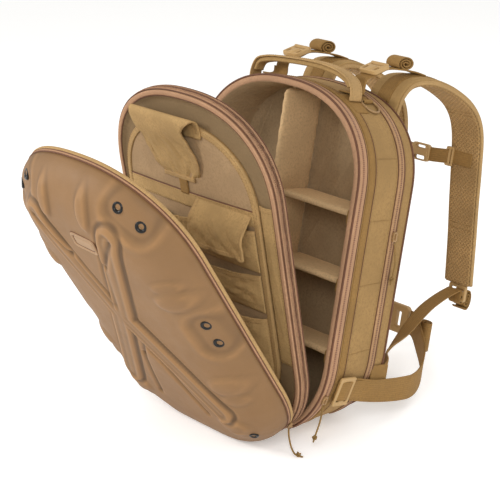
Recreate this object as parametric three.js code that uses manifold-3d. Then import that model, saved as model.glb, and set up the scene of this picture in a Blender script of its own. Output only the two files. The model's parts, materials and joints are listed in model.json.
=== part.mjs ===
// Hard shell backpack, opened out: a padded clamshell main compartment, a zip-round
// organizer leaf and a moulded shell leaf, all hinged at the base, with the harness behind.
// Millimetres, +Z up. The shell faces -Y, the wearer's side is +Y, the bag stands on Z = 0.
import * as THREE from 'three';
import Module from 'manifold-3d';
import { mergeVertices } from 'three/addons/utils/BufferGeometryUtils.js';

const wasm = await Module();
wasm.setup();

const degree = Math.PI / 180;
const seat = 0.4; // clearance between pieces that rest on each other

// Arched outline shared by the three leaves
const packHeight = 500;
const halfWidth = 165;
const archHeight = 135;
const archPower = 2.35;
const cornerRadius = 120;

// Main compartment
const gussetDepth = 93;
const rearDepth = 32;
const wallThickness = 10;
const backWall = 7;
const lean = 10.5 * degree; // the bag leans back on its sloping base

// Zip bands
const bandThickness = 1.5;
const bandWidth = 11;
const bandEdge = 4;

// Organizer leaf
const organizerTilt = 21 * degree;
const organizerThickness = 20;
const organizerRim = 9;
const organizerRecess = 7;
const organizerHinge = { y: 6.8, z: 10, backTaper: 7.2, backRun: 19, frontTaper: 8, frontRun: 40 };

// Shell leaf
const shellTilt = 42.6 * degree;
const shellGrow = 1.02;
const shellDepth = 52;
const shellCrown = 8;
const shellWall = 4;
const edgeRound = 78;
const toeRound = 52;
const shellHinge = { y: -6.7, z: 6.5, taper: 7.4, run: 40 };
const floorGap = 0.4;
const bindingDepth = 8;
const bindingThickness = 4;

// Raised cross of the shell, and what is moulded or set in it
const rib = {
  half: 17, edge: 5, height: 4.5, crossing: 0.54, topU: 0.46, topV: 0.86, footU: 0.58, footV: 0.22,
};
const pad = { radius: 24, edge: 6, depth: 3 };
const hump = { height: 7 };
const grommet = { radius: 7.5, bore: 3.6, length: 7 };
const badge = { length: 46, width: 24, thickness: 3, proud: 0.8, u: 18, share: 0.815 };

// Padding, dividers and shelves
const divider = { x: -15, thickness: 8, front: 10, bevel: 6 };
const shelf = { thickness: 9, front: 18 };
const shelfShares = [0.682, 0.489, 0.284];
const backPad = { thickness: 12, halfWidth: 122, height: 385, foot: 48, arch: 100, corner: 60 };

// Webbing and hardware
const shoulder = { x: 78, width: 60, thickness: 12, reach: 230, foot: 52 };
const lifter = { x: 79, width: 25, thickness: 2.6, anchorY: 64 };
const narrowWeb = { width: 25, thickness: 2.4 };
const sternum = { width: 22, thickness: 2, height: 0.8, gap: 19 };
const belt = { width: 38, thickness: 2.5, start: 27, height: 0.176, reach: 199, buckle: 33 };
const handle = { left: -103, right: 94, y: 40, width: 21, thickness: 9, rise: 22 };
const ring = { x: 105, y: 66, radius: 12, wire: 1.7 };
const cordRadius = 1.3;

const finishes = {
  shell: { color: 0x9d7753, roughness: 0.62 },
  fabric: { color: 0x9a7b4c, roughness: 0.9 },
  webbing: { color: 0x96784a, roughness: 0.85 },
  lining: { color: 0x75654c, roughness: 0.95 },
  zip: { color: 0xa5795a, roughness: 0.75 },
  pocket: { color: 0x8f7548, roughness: 0.9 },
  plastic: { color: 0xa88b5c, roughness: 0.5 },
  grommet: { color: 0x15130f, roughness: 0.35, metalness: 0.6 },
  metal: { color: 0x6c5233, roughness: 0.4, metalness: 0.7 },
};

const vec = (x, y, z) => new THREE.Vector3(x, y, z);
const mix = (a, b, t) => a + (b - a) * t;
const smooth = (a, b, x) => THREE.MathUtils.smoothstep(x, a, b);

const compartment = { halfWidth, height: packHeight, archHeight, cornerRadius };
const shellSize = {
  halfWidth: halfWidth * shellGrow,
  height: packHeight * shellGrow,
  archHeight: archHeight * shellGrow,
  cornerRadius: cornerRadius * shellGrow,
};

// Closed solid from points and triangle indices, turned so that its faces point out
function solid(points, faces) {
  const array = new Float32Array(points.flatMap((p) => [p.x, p.y, p.z]));
  let volume = 0;
  for (let i = 0; i < faces.length; i += 3) {
    const [a, b, c] = [points[faces[i]], points[faces[i + 1]], points[faces[i + 2]]];
    volume += a.dot(b.clone().cross(c));
  }
  if (volume < 0) faces.reverse();
  const geometry = new THREE.BufferGeometry();
  geometry.setAttribute('position', new THREE.BufferAttribute(array, 3));
  geometry.setIndex(faces);
  geometry.computeVertexNormals();
  return geometry;
}

// Skin through rings of equal count; ends are capped, or joined when the rings close on themselves
function loft(rings, closed = false) {
  const count = rings[0].length;
  const points = rings.flat();
  const faces = [];
  const spans = closed ? rings.length : rings.length - 1;
  for (let i = 0; i < spans; i++) {
    const a = i * count;
    const b = ((i + 1) % rings.length) * count;
    for (let j = 0; j < count; j++) {
      const k = (j + 1) % count;
      faces.push(a + j, a + k, b + k, a + j, b + k, b + j);
    }
  }
  if (!closed) {
    const fan = (start, flip) => {
      const middle = points.slice(start, start + count).reduce((sum, p) => sum.add(p), vec(0, 0, 0));
      points.push(middle.divideScalar(count));
      for (let j = 0; j < count; j++) {
        const pair = [start + j, start + ((j + 1) % count)];
        if (flip) pair.reverse();
        faces.push(pair[0], pair[1], points.length - 1);
      }
    };
    fan(0, true);
    fan((rings.length - 1) * count, false);
  }
  return solid(points, faces);
}

// Thin sheet between two surfaces given as functions of s and t, each from 0 to 1
function sheet(outer, inner, across, along) {
  const points = [];
  const faces = [];
  const columns = across + 1;
  for (const side of [outer, inner]) {
    for (let j = 0; j <= along; j++) {
      for (let i = 0; i <= across; i++) points.push(side(i / across, j / along));
    }
  }
  const half = points.length / 2;
  const quad = (a, b, c, d) => faces.push(a, b, c, a, c, d);
  const at = (i, j) => j * columns + i;
  for (let j = 0; j < along; j++) {
    for (let i = 0; i < across; i++) {
      const [a, b, c, d] = [at(i, j), at(i + 1, j), at(i + 1, j + 1), at(i, j + 1)];
      quad(a, b, c, d);
      quad(half + d, half + c, half + b, half + a);
    }
  }
  const edge = [];
  for (let i = 0; i < across; i++) edge.push([at(i, 0), at(i + 1, 0)]);
  for (let j = 0; j < along; j++) edge.push([at(across, j), at(across, j + 1)]);
  for (let i = across; i > 0; i--) edge.push([at(i, along), at(i - 1, along)]);
  for (let j = along; j > 0; j--) edge.push([at(0, j), at(0, j - 1)]);
  for (const [a, b] of edge) quad(b, a, half + a, half + b);
  return solid(points, faces);
}

// Solid bar of webbing or padding along a route, its width held towards the across vectors
function ribbon(route, { width, thickness, across, steps = 14, soft = 0 }) {
  const curve = new THREE.CatmullRomCurve3(route, false, 'centripetal');
  const turn = Array.isArray(across) ? new THREE.CatmullRomCurve3(across) : null;
  const widthAt = typeof width === 'function' ? width : () => width;
  const rings = [];
  for (let i = 0; i <= steps; i++) {
    const share = i / steps;
    const tangent = curve.getTangentAt(share);
    const side = turn ? turn.getPoint(curve.getUtoTmapping(share)) : across.clone();
    side.addScaledVector(tangent, -side.dot(tangent)).normalize();
    const normal = tangent.clone().cross(side);
    const w = widthAt(share) / 2;
    const h = thickness / 2;
    const section = soft
      ? [[-w, -h + soft], [-w + soft, -h], [w - soft, -h], [w, -h + soft],
        [w, h - soft], [w - soft, h], [-w + soft, h], [-w, h - soft]]
      : [[-w, -h], [w, -h], [w, h], [-w, h]];
    const centre = curve.getPointAt(share);
    rings.push(section.map(([a, b]) => centre.clone().addScaledVector(side, a).addScaledVector(normal, b)));
  }
  return loft(rings);
}

// Round hoop of wire along a closed route
function hoop(route, radius, stations = 12, sides = 5) {
  const curve = new THREE.CatmullRomCurve3(route, true);
  const frames = curve.computeFrenetFrames(stations, true);
  const rings = [];
  for (let i = 0; i < stations; i++) {
    const centre = curve.getPointAt(i / stations);
    rings.push(Array.from({ length: sides }, (_, k) => {
      const angle = (k / sides) * 2 * Math.PI;
      return centre.clone()
        .addScaledVector(frames.normals[i], radius * Math.cos(angle))
        .addScaledVector(frames.binormals[i], radius * Math.sin(angle));
    }));
  }
  return loft(rings, true);
}

function toManifold(geometry) {
  const bare = geometry.clone();
  bare.deleteAttribute('normal');
  bare.deleteAttribute('uv');
  const merged = mergeVertices(bare);
  return new wasm.Manifold(new wasm.Mesh({
    numProp: 3,
    vertProperties: new Float32Array(merged.attributes.position.array),
    triVerts: new Uint32Array(merged.index.array),
  }));
}

function fromManifold(body) {
  const mesh = body.getMesh();
  const geometry = new THREE.BufferGeometry();
  geometry.setAttribute('position', new THREE.BufferAttribute(mesh.vertProperties, 3));
  geometry.setIndex(new THREE.BufferAttribute(mesh.triVerts, 1));
  geometry.computeVertexNormals();
  return geometry;
}

const cut = (body, tools) => fromManifold(
  tools.reduce((rest, t) => rest.subtract(toManifold(t)), toManifold(body)),
);
const fuse = (...bodies) => fromManifold(bodies.map(toManifold).reduce((sum, next) => sum.add(next)));

// Plate with rounded corners and windows, standing in the XZ plane about its middle
function plate(width, height, thickness, corner, windows = []) {
  const corners = [[1, -1, -90], [1, 1, 0], [-1, 1, 90], [-1, -1, 180]];
  const face = (y) => corners.flatMap(([cx, cz, start]) => [0, 1, 2].map((i) => {
    const angle = (start + i * 45) * degree;
    const x = cx * (width / 2 - corner) + corner * Math.cos(angle);
    const z = cz * (height / 2 - corner) + corner * Math.sin(angle);
    return vec(x, y, z);
  }));
  const body = loft([face(-thickness / 2), face(thickness / 2)]);
  const hole = ([x, z, w, h]) => new THREE.BoxGeometry(w, thickness * 2, h).translate(x, 0, z);
  const holes = windows.map(hole);
  return holes.length ? cut(body, holes) : body;
}

// Round cord along its hand-chosen route
function cord(route, steps) {
  const section = new THREE.Shape(Array.from({ length: 8 }, (_, k) => {
    const angle = (k / 8) * 2 * Math.PI;
    return new THREE.Vector2(cordRadius * Math.cos(angle), cordRadius * Math.sin(angle));
  }));
  return new THREE.ExtrudeGeometry(section, {
    steps, extrudePath: new THREE.CatmullRomCurve3(route), bevelEnabled: false,
  });
}

const pack = new THREE.Group();
const organizer = new THREE.Group();
const shell = new THREE.Group();
pack.add(organizer, shell);

function piece(group, name, geometry, finish) {
  const mesh = new THREE.Mesh(geometry, new THREE.MeshStandardMaterial(finishes[finish]));
  mesh.name = name;
  group.add(mesh);
  return mesh;
}

function mirrored(geometry) {
  const array = (geometry.index ? geometry.toNonIndexed() : geometry).attributes.position.array;
  const points = [];
  for (let i = 0; i < array.length; i += 3) points.push(vec(-array[i], array[i + 1], array[i + 2]));
  return solid(points, points.map((_, i) => i));
}

// The same piece on the right, and mirrored on the left
function pair(name, geometry, finish) {
  piece(pack, `${name}_right`, geometry, finish);
  piece(pack, `${name}_left`, mirrored(geometry), finish);
}

// Arched outline as [u, v] pairs, drawn in by inset all round
function outline(size, inset) {
  const w = size.halfWidth - inset;
  const r = Math.max(size.cornerRadius - inset, 1);
  const a = size.archHeight - inset;
  const spring = size.height - size.archHeight;
  const half = [[0, inset], [(w - r) / 2, inset]];
  for (let i = 0; i <= 6; i++) {
    const angle = (i / 6) * 90 * degree;
    half.push([w - r + r * Math.sin(angle), inset + r - r * Math.cos(angle)]);
  }
  for (let i = 1; i <= 3; i++) half.push([w, mix(inset + r, spring, i / 4)]);
  for (let i = 0; i < 9; i++) {
    const angle = (i / 9) * 90 * degree;
    half.push([w * Math.cos(angle) ** (2 / archPower), spring + a * Math.sin(angle) ** (2 / archPower)]);
  }
  const left = half.slice(1).reverse().map(([u, v]) => [-u, v]);
  return [...half, [0, size.height - inset], ...left];
}

// Half width of the main outline at a height
function halfAt(v, size = compartment) {
  const spring = size.height - size.archHeight;
  if (v < size.cornerRadius) {
    const rise = size.cornerRadius - Math.max(v, 0);
    return size.halfWidth - size.cornerRadius + Math.sqrt(size.cornerRadius ** 2 - rise ** 2);
  }
  if (v < spring) return size.halfWidth;
  const t = Math.min((v - spring) / size.archHeight, 1);
  return size.halfWidth * (1 - t ** archPower) ** (1 / archPower);
}

// Height of the top of the main outline over a place across it
function topAt(x) {
  const t = Math.min(Math.abs(x) / halfWidth, 1);
  return packHeight - archHeight + archHeight * (1 - t ** archPower) ** (1 / archPower);
}

// The base slopes up behind the front edge, so that it lies flat when the bag leans back
const liftAt = (y) => y * Math.tan(lean);
const gussetRing = (inset, y) => outline(compartment, inset)
  .map(([u, v]) => vec(u, y, liftAt(y) + (v * (packHeight - liftAt(y))) / packHeight));

// Band round the arch that stops short of the base at both corners
function openBand(rings) {
  const skip = 4;
  const stations = rings[0].map((_, i) => rings.map((ring) => ring[i]));
  return loft(stations.slice(skip, stations.length - skip + 1));
}

function mainCompartment() {
  const inner = wallThickness;
  const back = gussetDepth - seat;
  piece(pack, 'main_case', loft([
    gussetRing(0, back), gussetRing(0, back * 0.5), gussetRing(0, 3), gussetRing(3, 0),
    gussetRing(inner - 2, 0), gussetRing(inner, 3), gussetRing(inner, gussetDepth - backWall),
  ]), 'fabric');
  const band = (from, to) => openBand([
    gussetRing(-seat, from), gussetRing(-seat - bandThickness, from),
    gussetRing(-seat - bandThickness, to), gussetRing(-seat, to),
  ]);
  piece(pack, 'front_zip_band', band(bandEdge, bandEdge + bandWidth), 'zip');
  piece(pack, 'rear_zip_band', band(gussetDepth - bandWidth, gussetDepth - 1), 'zip');
  const rear = gussetDepth + rearDepth;
  piece(pack, 'rear_compartment', loft([
    gussetRing(wallThickness + 2, rear - backWall), gussetRing(wallThickness, gussetDepth),
    gussetRing(1, gussetDepth), gussetRing(3, rear - 9), gussetRing(16, rear),
  ]), 'fabric');
  const padSize = {
    halfWidth: backPad.halfWidth,
    height: backPad.height,
    archHeight: backPad.arch,
    cornerRadius: backPad.corner,
  };
  const padRing = (inset, y) => outline(padSize, inset).map(([u, v]) => vec(u, y, v + backPad.foot));
  piece(pack, 'back_pad', loft([
    padRing(2, rear + seat),
    padRing(0, rear + backPad.thickness * 0.5),
    padRing(9, rear + backPad.thickness),
  ]), 'lining');
}

function insideFittings() {
  const back = gussetDepth - backWall - seat;
  const floorAt = (y) => liftAt(y) + wallThickness + seat;
  const top = packHeight - wallThickness - 2;
  const face = (x) => [
    vec(x, divider.front, floorAt(divider.front) + divider.bevel),
    vec(x, divider.front + divider.bevel, floorAt(divider.front + divider.bevel)),
    vec(x, back, floorAt(back)),
    vec(x, back, top),
    vec(x, divider.front + divider.bevel, top),
    vec(x, divider.front, top - divider.bevel),
  ];
  piece(pack, 'vertical_divider', loft([face(divider.x), face(divider.x + divider.thickness)]), 'lining');
  const left = divider.x + divider.thickness + seat;
  const right = halfWidth - wallThickness - seat;
  shelfShares.forEach((share, i) => {
    const z = share * packHeight;
    const end = (x) => [
      vec(x, shelf.front, z - shelf.thickness * 0.75), vec(x, shelf.front, z - shelf.thickness * 0.25),
      vec(x, shelf.front + 3, z), vec(x, back, z), vec(x, back, z - shelf.thickness),
      vec(x, shelf.front + 3, z - shelf.thickness),
    ];
    piece(pack, `shelf_${i + 1}`, loft([end(left), end(right)]), 'lining');
  });
}

// Leaf coordinates: u across, v up the leaf, h out of its front face
const leaf = (u, v, h) => vec(u, -h, v);
const fade = (v, amount, run) => amount * Math.max(0, 1 - v / run);
const organizerBack = (v) => fade(v, organizerHinge.backTaper, organizerHinge.backRun);
const organizerFront = (v) => (
  organizerThickness - fade(v, organizerHinge.frontTaper, organizerHinge.frontRun)
);

function organizerLeaf() {
  const ringAt = (inset, share) => outline(compartment, inset)
    .map(([u, v]) => leaf(u, v, mix(organizerBack(v), organizerFront(v), share)));
  const recess = 1 - organizerRecess / organizerThickness;
  piece(organizer, 'organizer_panel', loft([
    ringAt(4, 0), ringAt(0, 0.15), ringAt(0, 0.85), ringAt(2, 1),
    ringAt(organizerRim - 2, 1), ringAt(organizerRim, recess),
  ]), 'lining');
  const [low, high] = [0.22, 0.8];
  const face = -seat - bandThickness;
  piece(organizer, 'organizer_zip_band', openBand([
    ringAt(-seat, low), ringAt(face, low), ringAt(face, high), ringAt(-seat, high),
  ]), 'zip');
}

const fieldAt = organizerThickness - organizerRecess + seat;
const pocketFace = fieldAt + 5.5;
const archPocket = { centre: -12.5, halfWidth: 137.5, foot: 30, top: 457, arch: 112, corner: 108 };

// Cloth pocket sewn down both sides and along its foot, open at the top
function clothPocket(name, { left, right, foot, top, bulge, base, wall = 1.8 }) {
  const surface = (extra) => (s, t) => {
    const rim = typeof top === 'function' ? top(s) : top;
    const swell = Math.sin(Math.PI * s) ** 0.55 * Math.sin((Math.min(t * 1.5, 1) * Math.PI) / 2);
    return leaf(mix(left, right, s), mix(foot, rim, t), base + bulge * swell + extra);
  };
  piece(organizer, name, sheet(surface(wall), surface(0), 6, 4), 'pocket');
}

function organizerPockets() {
  const size = {
    halfWidth: archPocket.halfWidth, height: archPocket.top - archPocket.foot,
    archHeight: archPocket.arch, cornerRadius: archPocket.corner,
  };
  const ringAt = (inset, h) => outline(size, inset)
    .map(([u, v]) => leaf(u + archPocket.centre, v + archPocket.foot, h));
  piece(organizer, 'arch_pocket', loft([
    ringAt(0, fieldAt), ringAt(0, pocketFace - 1.2), ringAt(2.5, pocketFace),
  ]), 'fabric');
  // rows of the tunnel and its tongue: height up the leaf, height off the pocket, left and right edges
  const rows = [
    { v: 440, off: 0.4, left: -97, right: 30 }, { v: 457, off: 2, left: -99, right: 32 },
    { v: 468, off: 7, left: -100, right: 33 }, { v: 471, off: 13, left: -100, right: 32 },
    { v: 465, off: 17.5, left: -100, right: 22 }, { v: 450, off: 16.5, left: -98, right: 8 },
    { v: 428, off: 11, left: -91, right: 13 }, { v: 404, off: 6, left: -82, right: 20 },
    { v: 386, off: 3.4, left: -74, right: 16 }, { v: 374, off: 1.8, left: -58, right: 2 },
  ];
  const rowPoint = (i, s, lift) => {
    const row = rows[i];
    const before = rows[Math.max(i - 1, 0)];
    const after = rows[Math.min(i + 1, rows.length - 1)];
    const run = vec(0, after.off - before.off, after.v - before.v).normalize();
    return leaf(mix(row.left, row.right, s), row.v + run.y * lift, pocketFace + row.off - run.z * lift);
  };
  const tall = rows.length - 1;
  const cloth = 1.8;
  piece(organizer, 'tunnel_flap', sheet(
    (s, t) => rowPoint(Math.round(t * tall), s, -cloth),
    (s, t) => rowPoint(Math.round(t * tall), s, 0),
    3,
    tall,
  ), 'pocket');
  const base = pocketFace + seat;
  clothPocket('pen_pocket', { left: -76, right: -14, foot: 224, top: 316, bulge: 9, base });
  clothPocket('flap_pocket', { left: 0, right: 116, foot: 266, top: 328, bulge: 9, base });
  clothPocket('utility_pocket', {
    left: -12, right: 116, foot: 205, top: (s) => mix(252, 262, s), bulge: 8, base,
  });
  clothPocket('lower_pocket_left', { left: -104, right: 34, foot: 62, top: 201, bulge: 10, base });
  clothPocket('lower_pocket_right', {
    left: 37, right: 117, foot: 62, top: (s) => 165 + 32 * Math.sqrt(Math.min(s * 3, 1)), bulge: 13, base,
  });
  clothPocket('side_pocket', { left: 128, right: 152, foot: 130, top: 366, bulge: 3, base: fieldAt });
  // flap over the flap pocket, its free edge standing off
  const flap = (lift) => (s, t) => leaf(
    mix(2, 114, s), mix(349, 292, t), base + lift + 24 * Math.sin((Math.min(t * 1.6, 1) * Math.PI) / 2),
  );
  piece(organizer, 'pocket_flap', sheet(flap(cloth), flap(0), 6, 4), 'pocket');
}

// Distance from a point of the leaf to a segment on it
function segmentDistance(u, v, [au, av], [bu, bv]) {
  const along = (u - au) * (bu - au) + (v - av) * (bv - av);
  const t = THREE.MathUtils.clamp(along / ((bu - au) ** 2 + (bv - av) ** 2), 0, 1);
  return Math.hypot(u - mix(au, bu, t), v - mix(av, bv, t));
}

// Pads with two grommets each, as shares of the shell's half width and height
const pads = [
  { from: [0.59, 0.935], to: [0.765, 0.888] },
  { from: [0.885, 0.557], to: [0.9, 0.49] },
];
// Humps along the sides: middle and half sizes, as shares of the same
const humps = [
  { u: 0.8, v: 0.665, ru: 0.22, rv: 0.045 }, { u: 0.8, v: 0.335, ru: 0.2, rv: 0.05 },
  { u: 0.62, v: 0.165, ru: 0.2, rv: 0.045 }, { u: 0.3, v: 0.925, ru: 0.12, rv: 0.06 },
];

const onShell = ([u, v]) => [u * shellSize.halfWidth, v * shellSize.height];

function shellRelief(u, v) {
  const a = Math.abs(u);
  const crossing = onShell([0.03, rib.crossing]);
  const arm = Math.min(
    segmentDistance(a, v, crossing, onShell([rib.topU, rib.topV])),
    segmentDistance(a, v, crossing, onShell([rib.footU, rib.footV])),
  );
  let h = rib.height * (1 - smooth(rib.half - rib.edge, rib.half + rib.edge, arm));
  for (const { from, to } of pads) {
    const away = segmentDistance(a, v, onShell(from), onShell(to));
    h -= pad.depth * (1 - smooth(pad.radius - pad.edge, pad.radius + pad.edge, away));
  }
  for (const { u: mu, v: mv, ru, rv } of humps) {
    const [x, y] = onShell([mu, mv]);
    const [rx, ry] = onShell([ru, rv]);
    h += hump.height * Math.exp(-(((a - x) / rx) ** 2) - ((v - y) / ry) ** 2);
  }
  return h;
}

// Distance in from the rim, near enough for rounding the edge
const shellOutline = outline(shellSize, 0);
function rimDistance(u, v) {
  const next = (i) => shellOutline[(i + 1) % shellOutline.length];
  return Math.min(...shellOutline.map((p, i) => segmentDistance(u, v, p, next(i))));
}

const leanIn = shellTilt - lean;
const footHeight = Math.cos(lean) * shellHinge.z - Math.sin(lean) * shellHinge.y;

// Height of the moulding over the leaf plane; the toe is flattened where it rests on the floor
function shellHeight(u, v, relief = true) {
  const inward = rimDistance(u, v);
  const round = mix(toeRound, edgeRound, smooth(50, 170, v));
  const t = Math.min(inward / round, 1);
  const bulge = shellDepth * Math.sqrt(1 - (1 - t) ** 2);
  const crown = shellCrown * (1 - (u / shellSize.halfWidth) ** 2) * Math.min(1, inward / halfWidth);
  const moulded = relief ? shellRelief(u, v) * smooth(4, 22, inward) : 0;
  const raw = fade(v, shellHinge.taper, shellHinge.run) + bulge + crown + moulded;
  const limit = (footHeight - floorGap + Math.cos(leanIn) * v) / Math.sin(leanIn);
  const blend = 3;
  return (raw + limit - Math.hypot(raw - limit, blend)) / 2;
}

const spineAt = ([, v]) => [0, THREE.MathUtils.clamp(v, shellSize.height * 0.3, shellSize.height * 0.7)];
const shellRows = [0, 0.025, 0.07, 0.13, 0.2, 0.28, 0.37, 0.47, 0.58, 0.7, 0.83, 0.96];

function shellBody() {
  const rim = outline(shellSize, 0);
  const ring = (t, inward, drop) => rim.map((p) => {
    const [cu, cv] = spineAt(p);
    const [u, v] = [mix(p[0], cu, t), mix(p[1], cv, t)];
    const reach = Math.hypot(cu - u, cv - v) || 1;
    const h = shellHeight(u, v) - drop;
    return leaf(u + ((cu - u) / reach) * inward, v + ((cv - v) / reach) * inward, h);
  });
  const flat = (inset) => outline(shellSize, inset)
    .map(([u, v]) => leaf(u, v, fade(v, shellHinge.taper, shellHinge.run)));
  const outside = shellRows.slice(1).map((t) => ring(t, 0, 0));
  const inside = shellRows
    .filter((_, i) => i > 1 && (i < 5 || i % 2))
    .map((t) => ring(t, shellWall * (1 - t), shellWall * smooth(0, 0.2, t)));
  return loft([...outside.reverse(), flat(0), flat(shellWall), ...inside]);
}

// Frame standing on the moulding: x across, y up the leaf, z outwards
function shellFrame(u, v, lift = 0) {
  const step = 6;
  const at = (du, dv) => leaf(u + du, v + dv, shellHeight(u + du, v + dv, false));
  const across = at(step, 0).sub(at(-step, 0)).normalize();
  const up = at(0, step).sub(at(0, -step)).normalize();
  const out = up.clone().cross(across).normalize();
  if (out.y > 0) out.negate();
  const side = up.clone().cross(out).normalize();
  const origin = leaf(u, v, shellHeight(u, v)).addScaledVector(out, lift);
  return new THREE.Matrix4().makeBasis(side, up, out).setPosition(origin);
}

const lidOf = (geometry, frame) => {
  const moved = geometry.clone();
  moved.applyMatrix4(frame);
  return moved;
};

function shellLeaf() {
  const spots = [];
  pads.forEach(({ from, to }, i) => [from, to].forEach((spot, k) => {
    const [u, v] = onShell(spot);
    spots.push({ name: `grommet_${i ? 'low' : 'top'}_${k + 1}_right`, u, v });
    spots.push({ name: `grommet_${i ? 'low' : 'top'}_${k + 1}_left`, u: -u, v });
  }));
  const half = grommet.length / 2;
  const profile = [
    [grommet.bore, -half], [grommet.radius, -half], [grommet.radius, half - 1], [grommet.radius - 2, half],
    [grommet.bore + 1, half], [grommet.bore, half - 1], [grommet.bore, -half],
  ].map(([x, y]) => new THREE.Vector2(x, y));
  const sink = -half + 1.6;
  const tools = [];
  for (const { name, u, v } of spots) {
    const frame = shellFrame(u, v, sink);
    const body = new THREE.LatheGeometry(profile, 8);
    body.rotateX(Math.PI / 2);
    piece(shell, name, lidOf(body, frame), 'grommet');
    const bore = new THREE.CylinderGeometry(grommet.radius + seat, grommet.radius + seat, 30, 8);
    bore.rotateX(Math.PI / 2);
    tools.push(lidOf(bore, frame));
  }
  const badgeFrame = shellFrame(badge.u, badge.share * shellSize.height, badge.proud - badge.thickness / 2);
  const turn = new THREE.Matrix4().makeRotationZ(-6 * degree);
  const plateOf = (grow, thick, shift) => {
    const body = plate(badge.length + grow, badge.width + grow, thick, 5);
    body.rotateX(Math.PI / 2);
    body.translate(0, 0, shift);
    body.applyMatrix4(turn);
    return lidOf(body, badgeFrame);
  };
  piece(shell, 'badge_plate', plateOf(0, badge.thickness, 0), 'shell');
  tools.push(plateOf(2 * seat, 12, 6 - badge.thickness / 2 - seat));
  piece(shell, 'front_shell', cut(shellBody(), tools), 'shell');

  const bind = (inset, depth) => outline(shellSize, inset)
    .map(([u, v]) => leaf(u, v, fade(v, shellHinge.taper, shellHinge.run) - depth));
  piece(shell, 'shell_binding', loft([
    bind(0, seat), bind(-1.5, bindingDepth * 0.4), bind(0, bindingDepth),
    bind(bindingThickness, bindingDepth), bind(bindingThickness, seat),
  ], true), 'fabric');
}

// Shoulder strap's middle line: share of its reach behind the back, and share of the bag's height
const shoulderRows = [
  [0, 0.9], [0.002, 0.95], [0.018, 0.992], [0.08, 1.026], [0.21, 1.038], [0.354, 1.03], [0.515, 1.008],
  [0.667, 0.974], [0.767, 0.932], [0.82, 0.884], [0.863, 0.79], [0.906, 0.67], [0.95, 0.56], [1, 0.414],
];
const backFace = gussetDepth + rearDepth;
const strapY = backFace + seat + shoulder.thickness / 2 + 0.4;
const shoulderRoute = shoulderRows.map(([out, up], i) => vec(
  shoulder.x - 12 * Math.max(0, 1 - i / 4), strapY + out * shoulder.reach, up * packHeight,
));
const shoulderCurve = new THREE.CatmullRomCurve3(shoulderRoute, false, 'centripetal');

// Point of the hanging stretch of the shoulder strap at a height
function strapAtHeight(z) {
  for (let t = 1; t > 0.3; t -= 0.005) {
    const p = shoulderCurve.getPointAt(t);
    if (p.z >= z) return { at: p, up: shoulderCurve.getTangentAt(t).negate() };
  }
  return { at: shoulderCurve.getPointAt(0.5), up: vec(0, 0, 1) };
}

function block(sizeX, sizeY, sizeZ, centre, turnZ = 0, turnX = 0) {
  const body = plate(sizeX, sizeZ, sizeY, Math.min(sizeX, sizeZ) * 0.25);
  body.rotateX(turnX);
  body.rotateZ(turnZ);
  body.translate(centre.x, centre.y, centre.z);
  return body;
}

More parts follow.
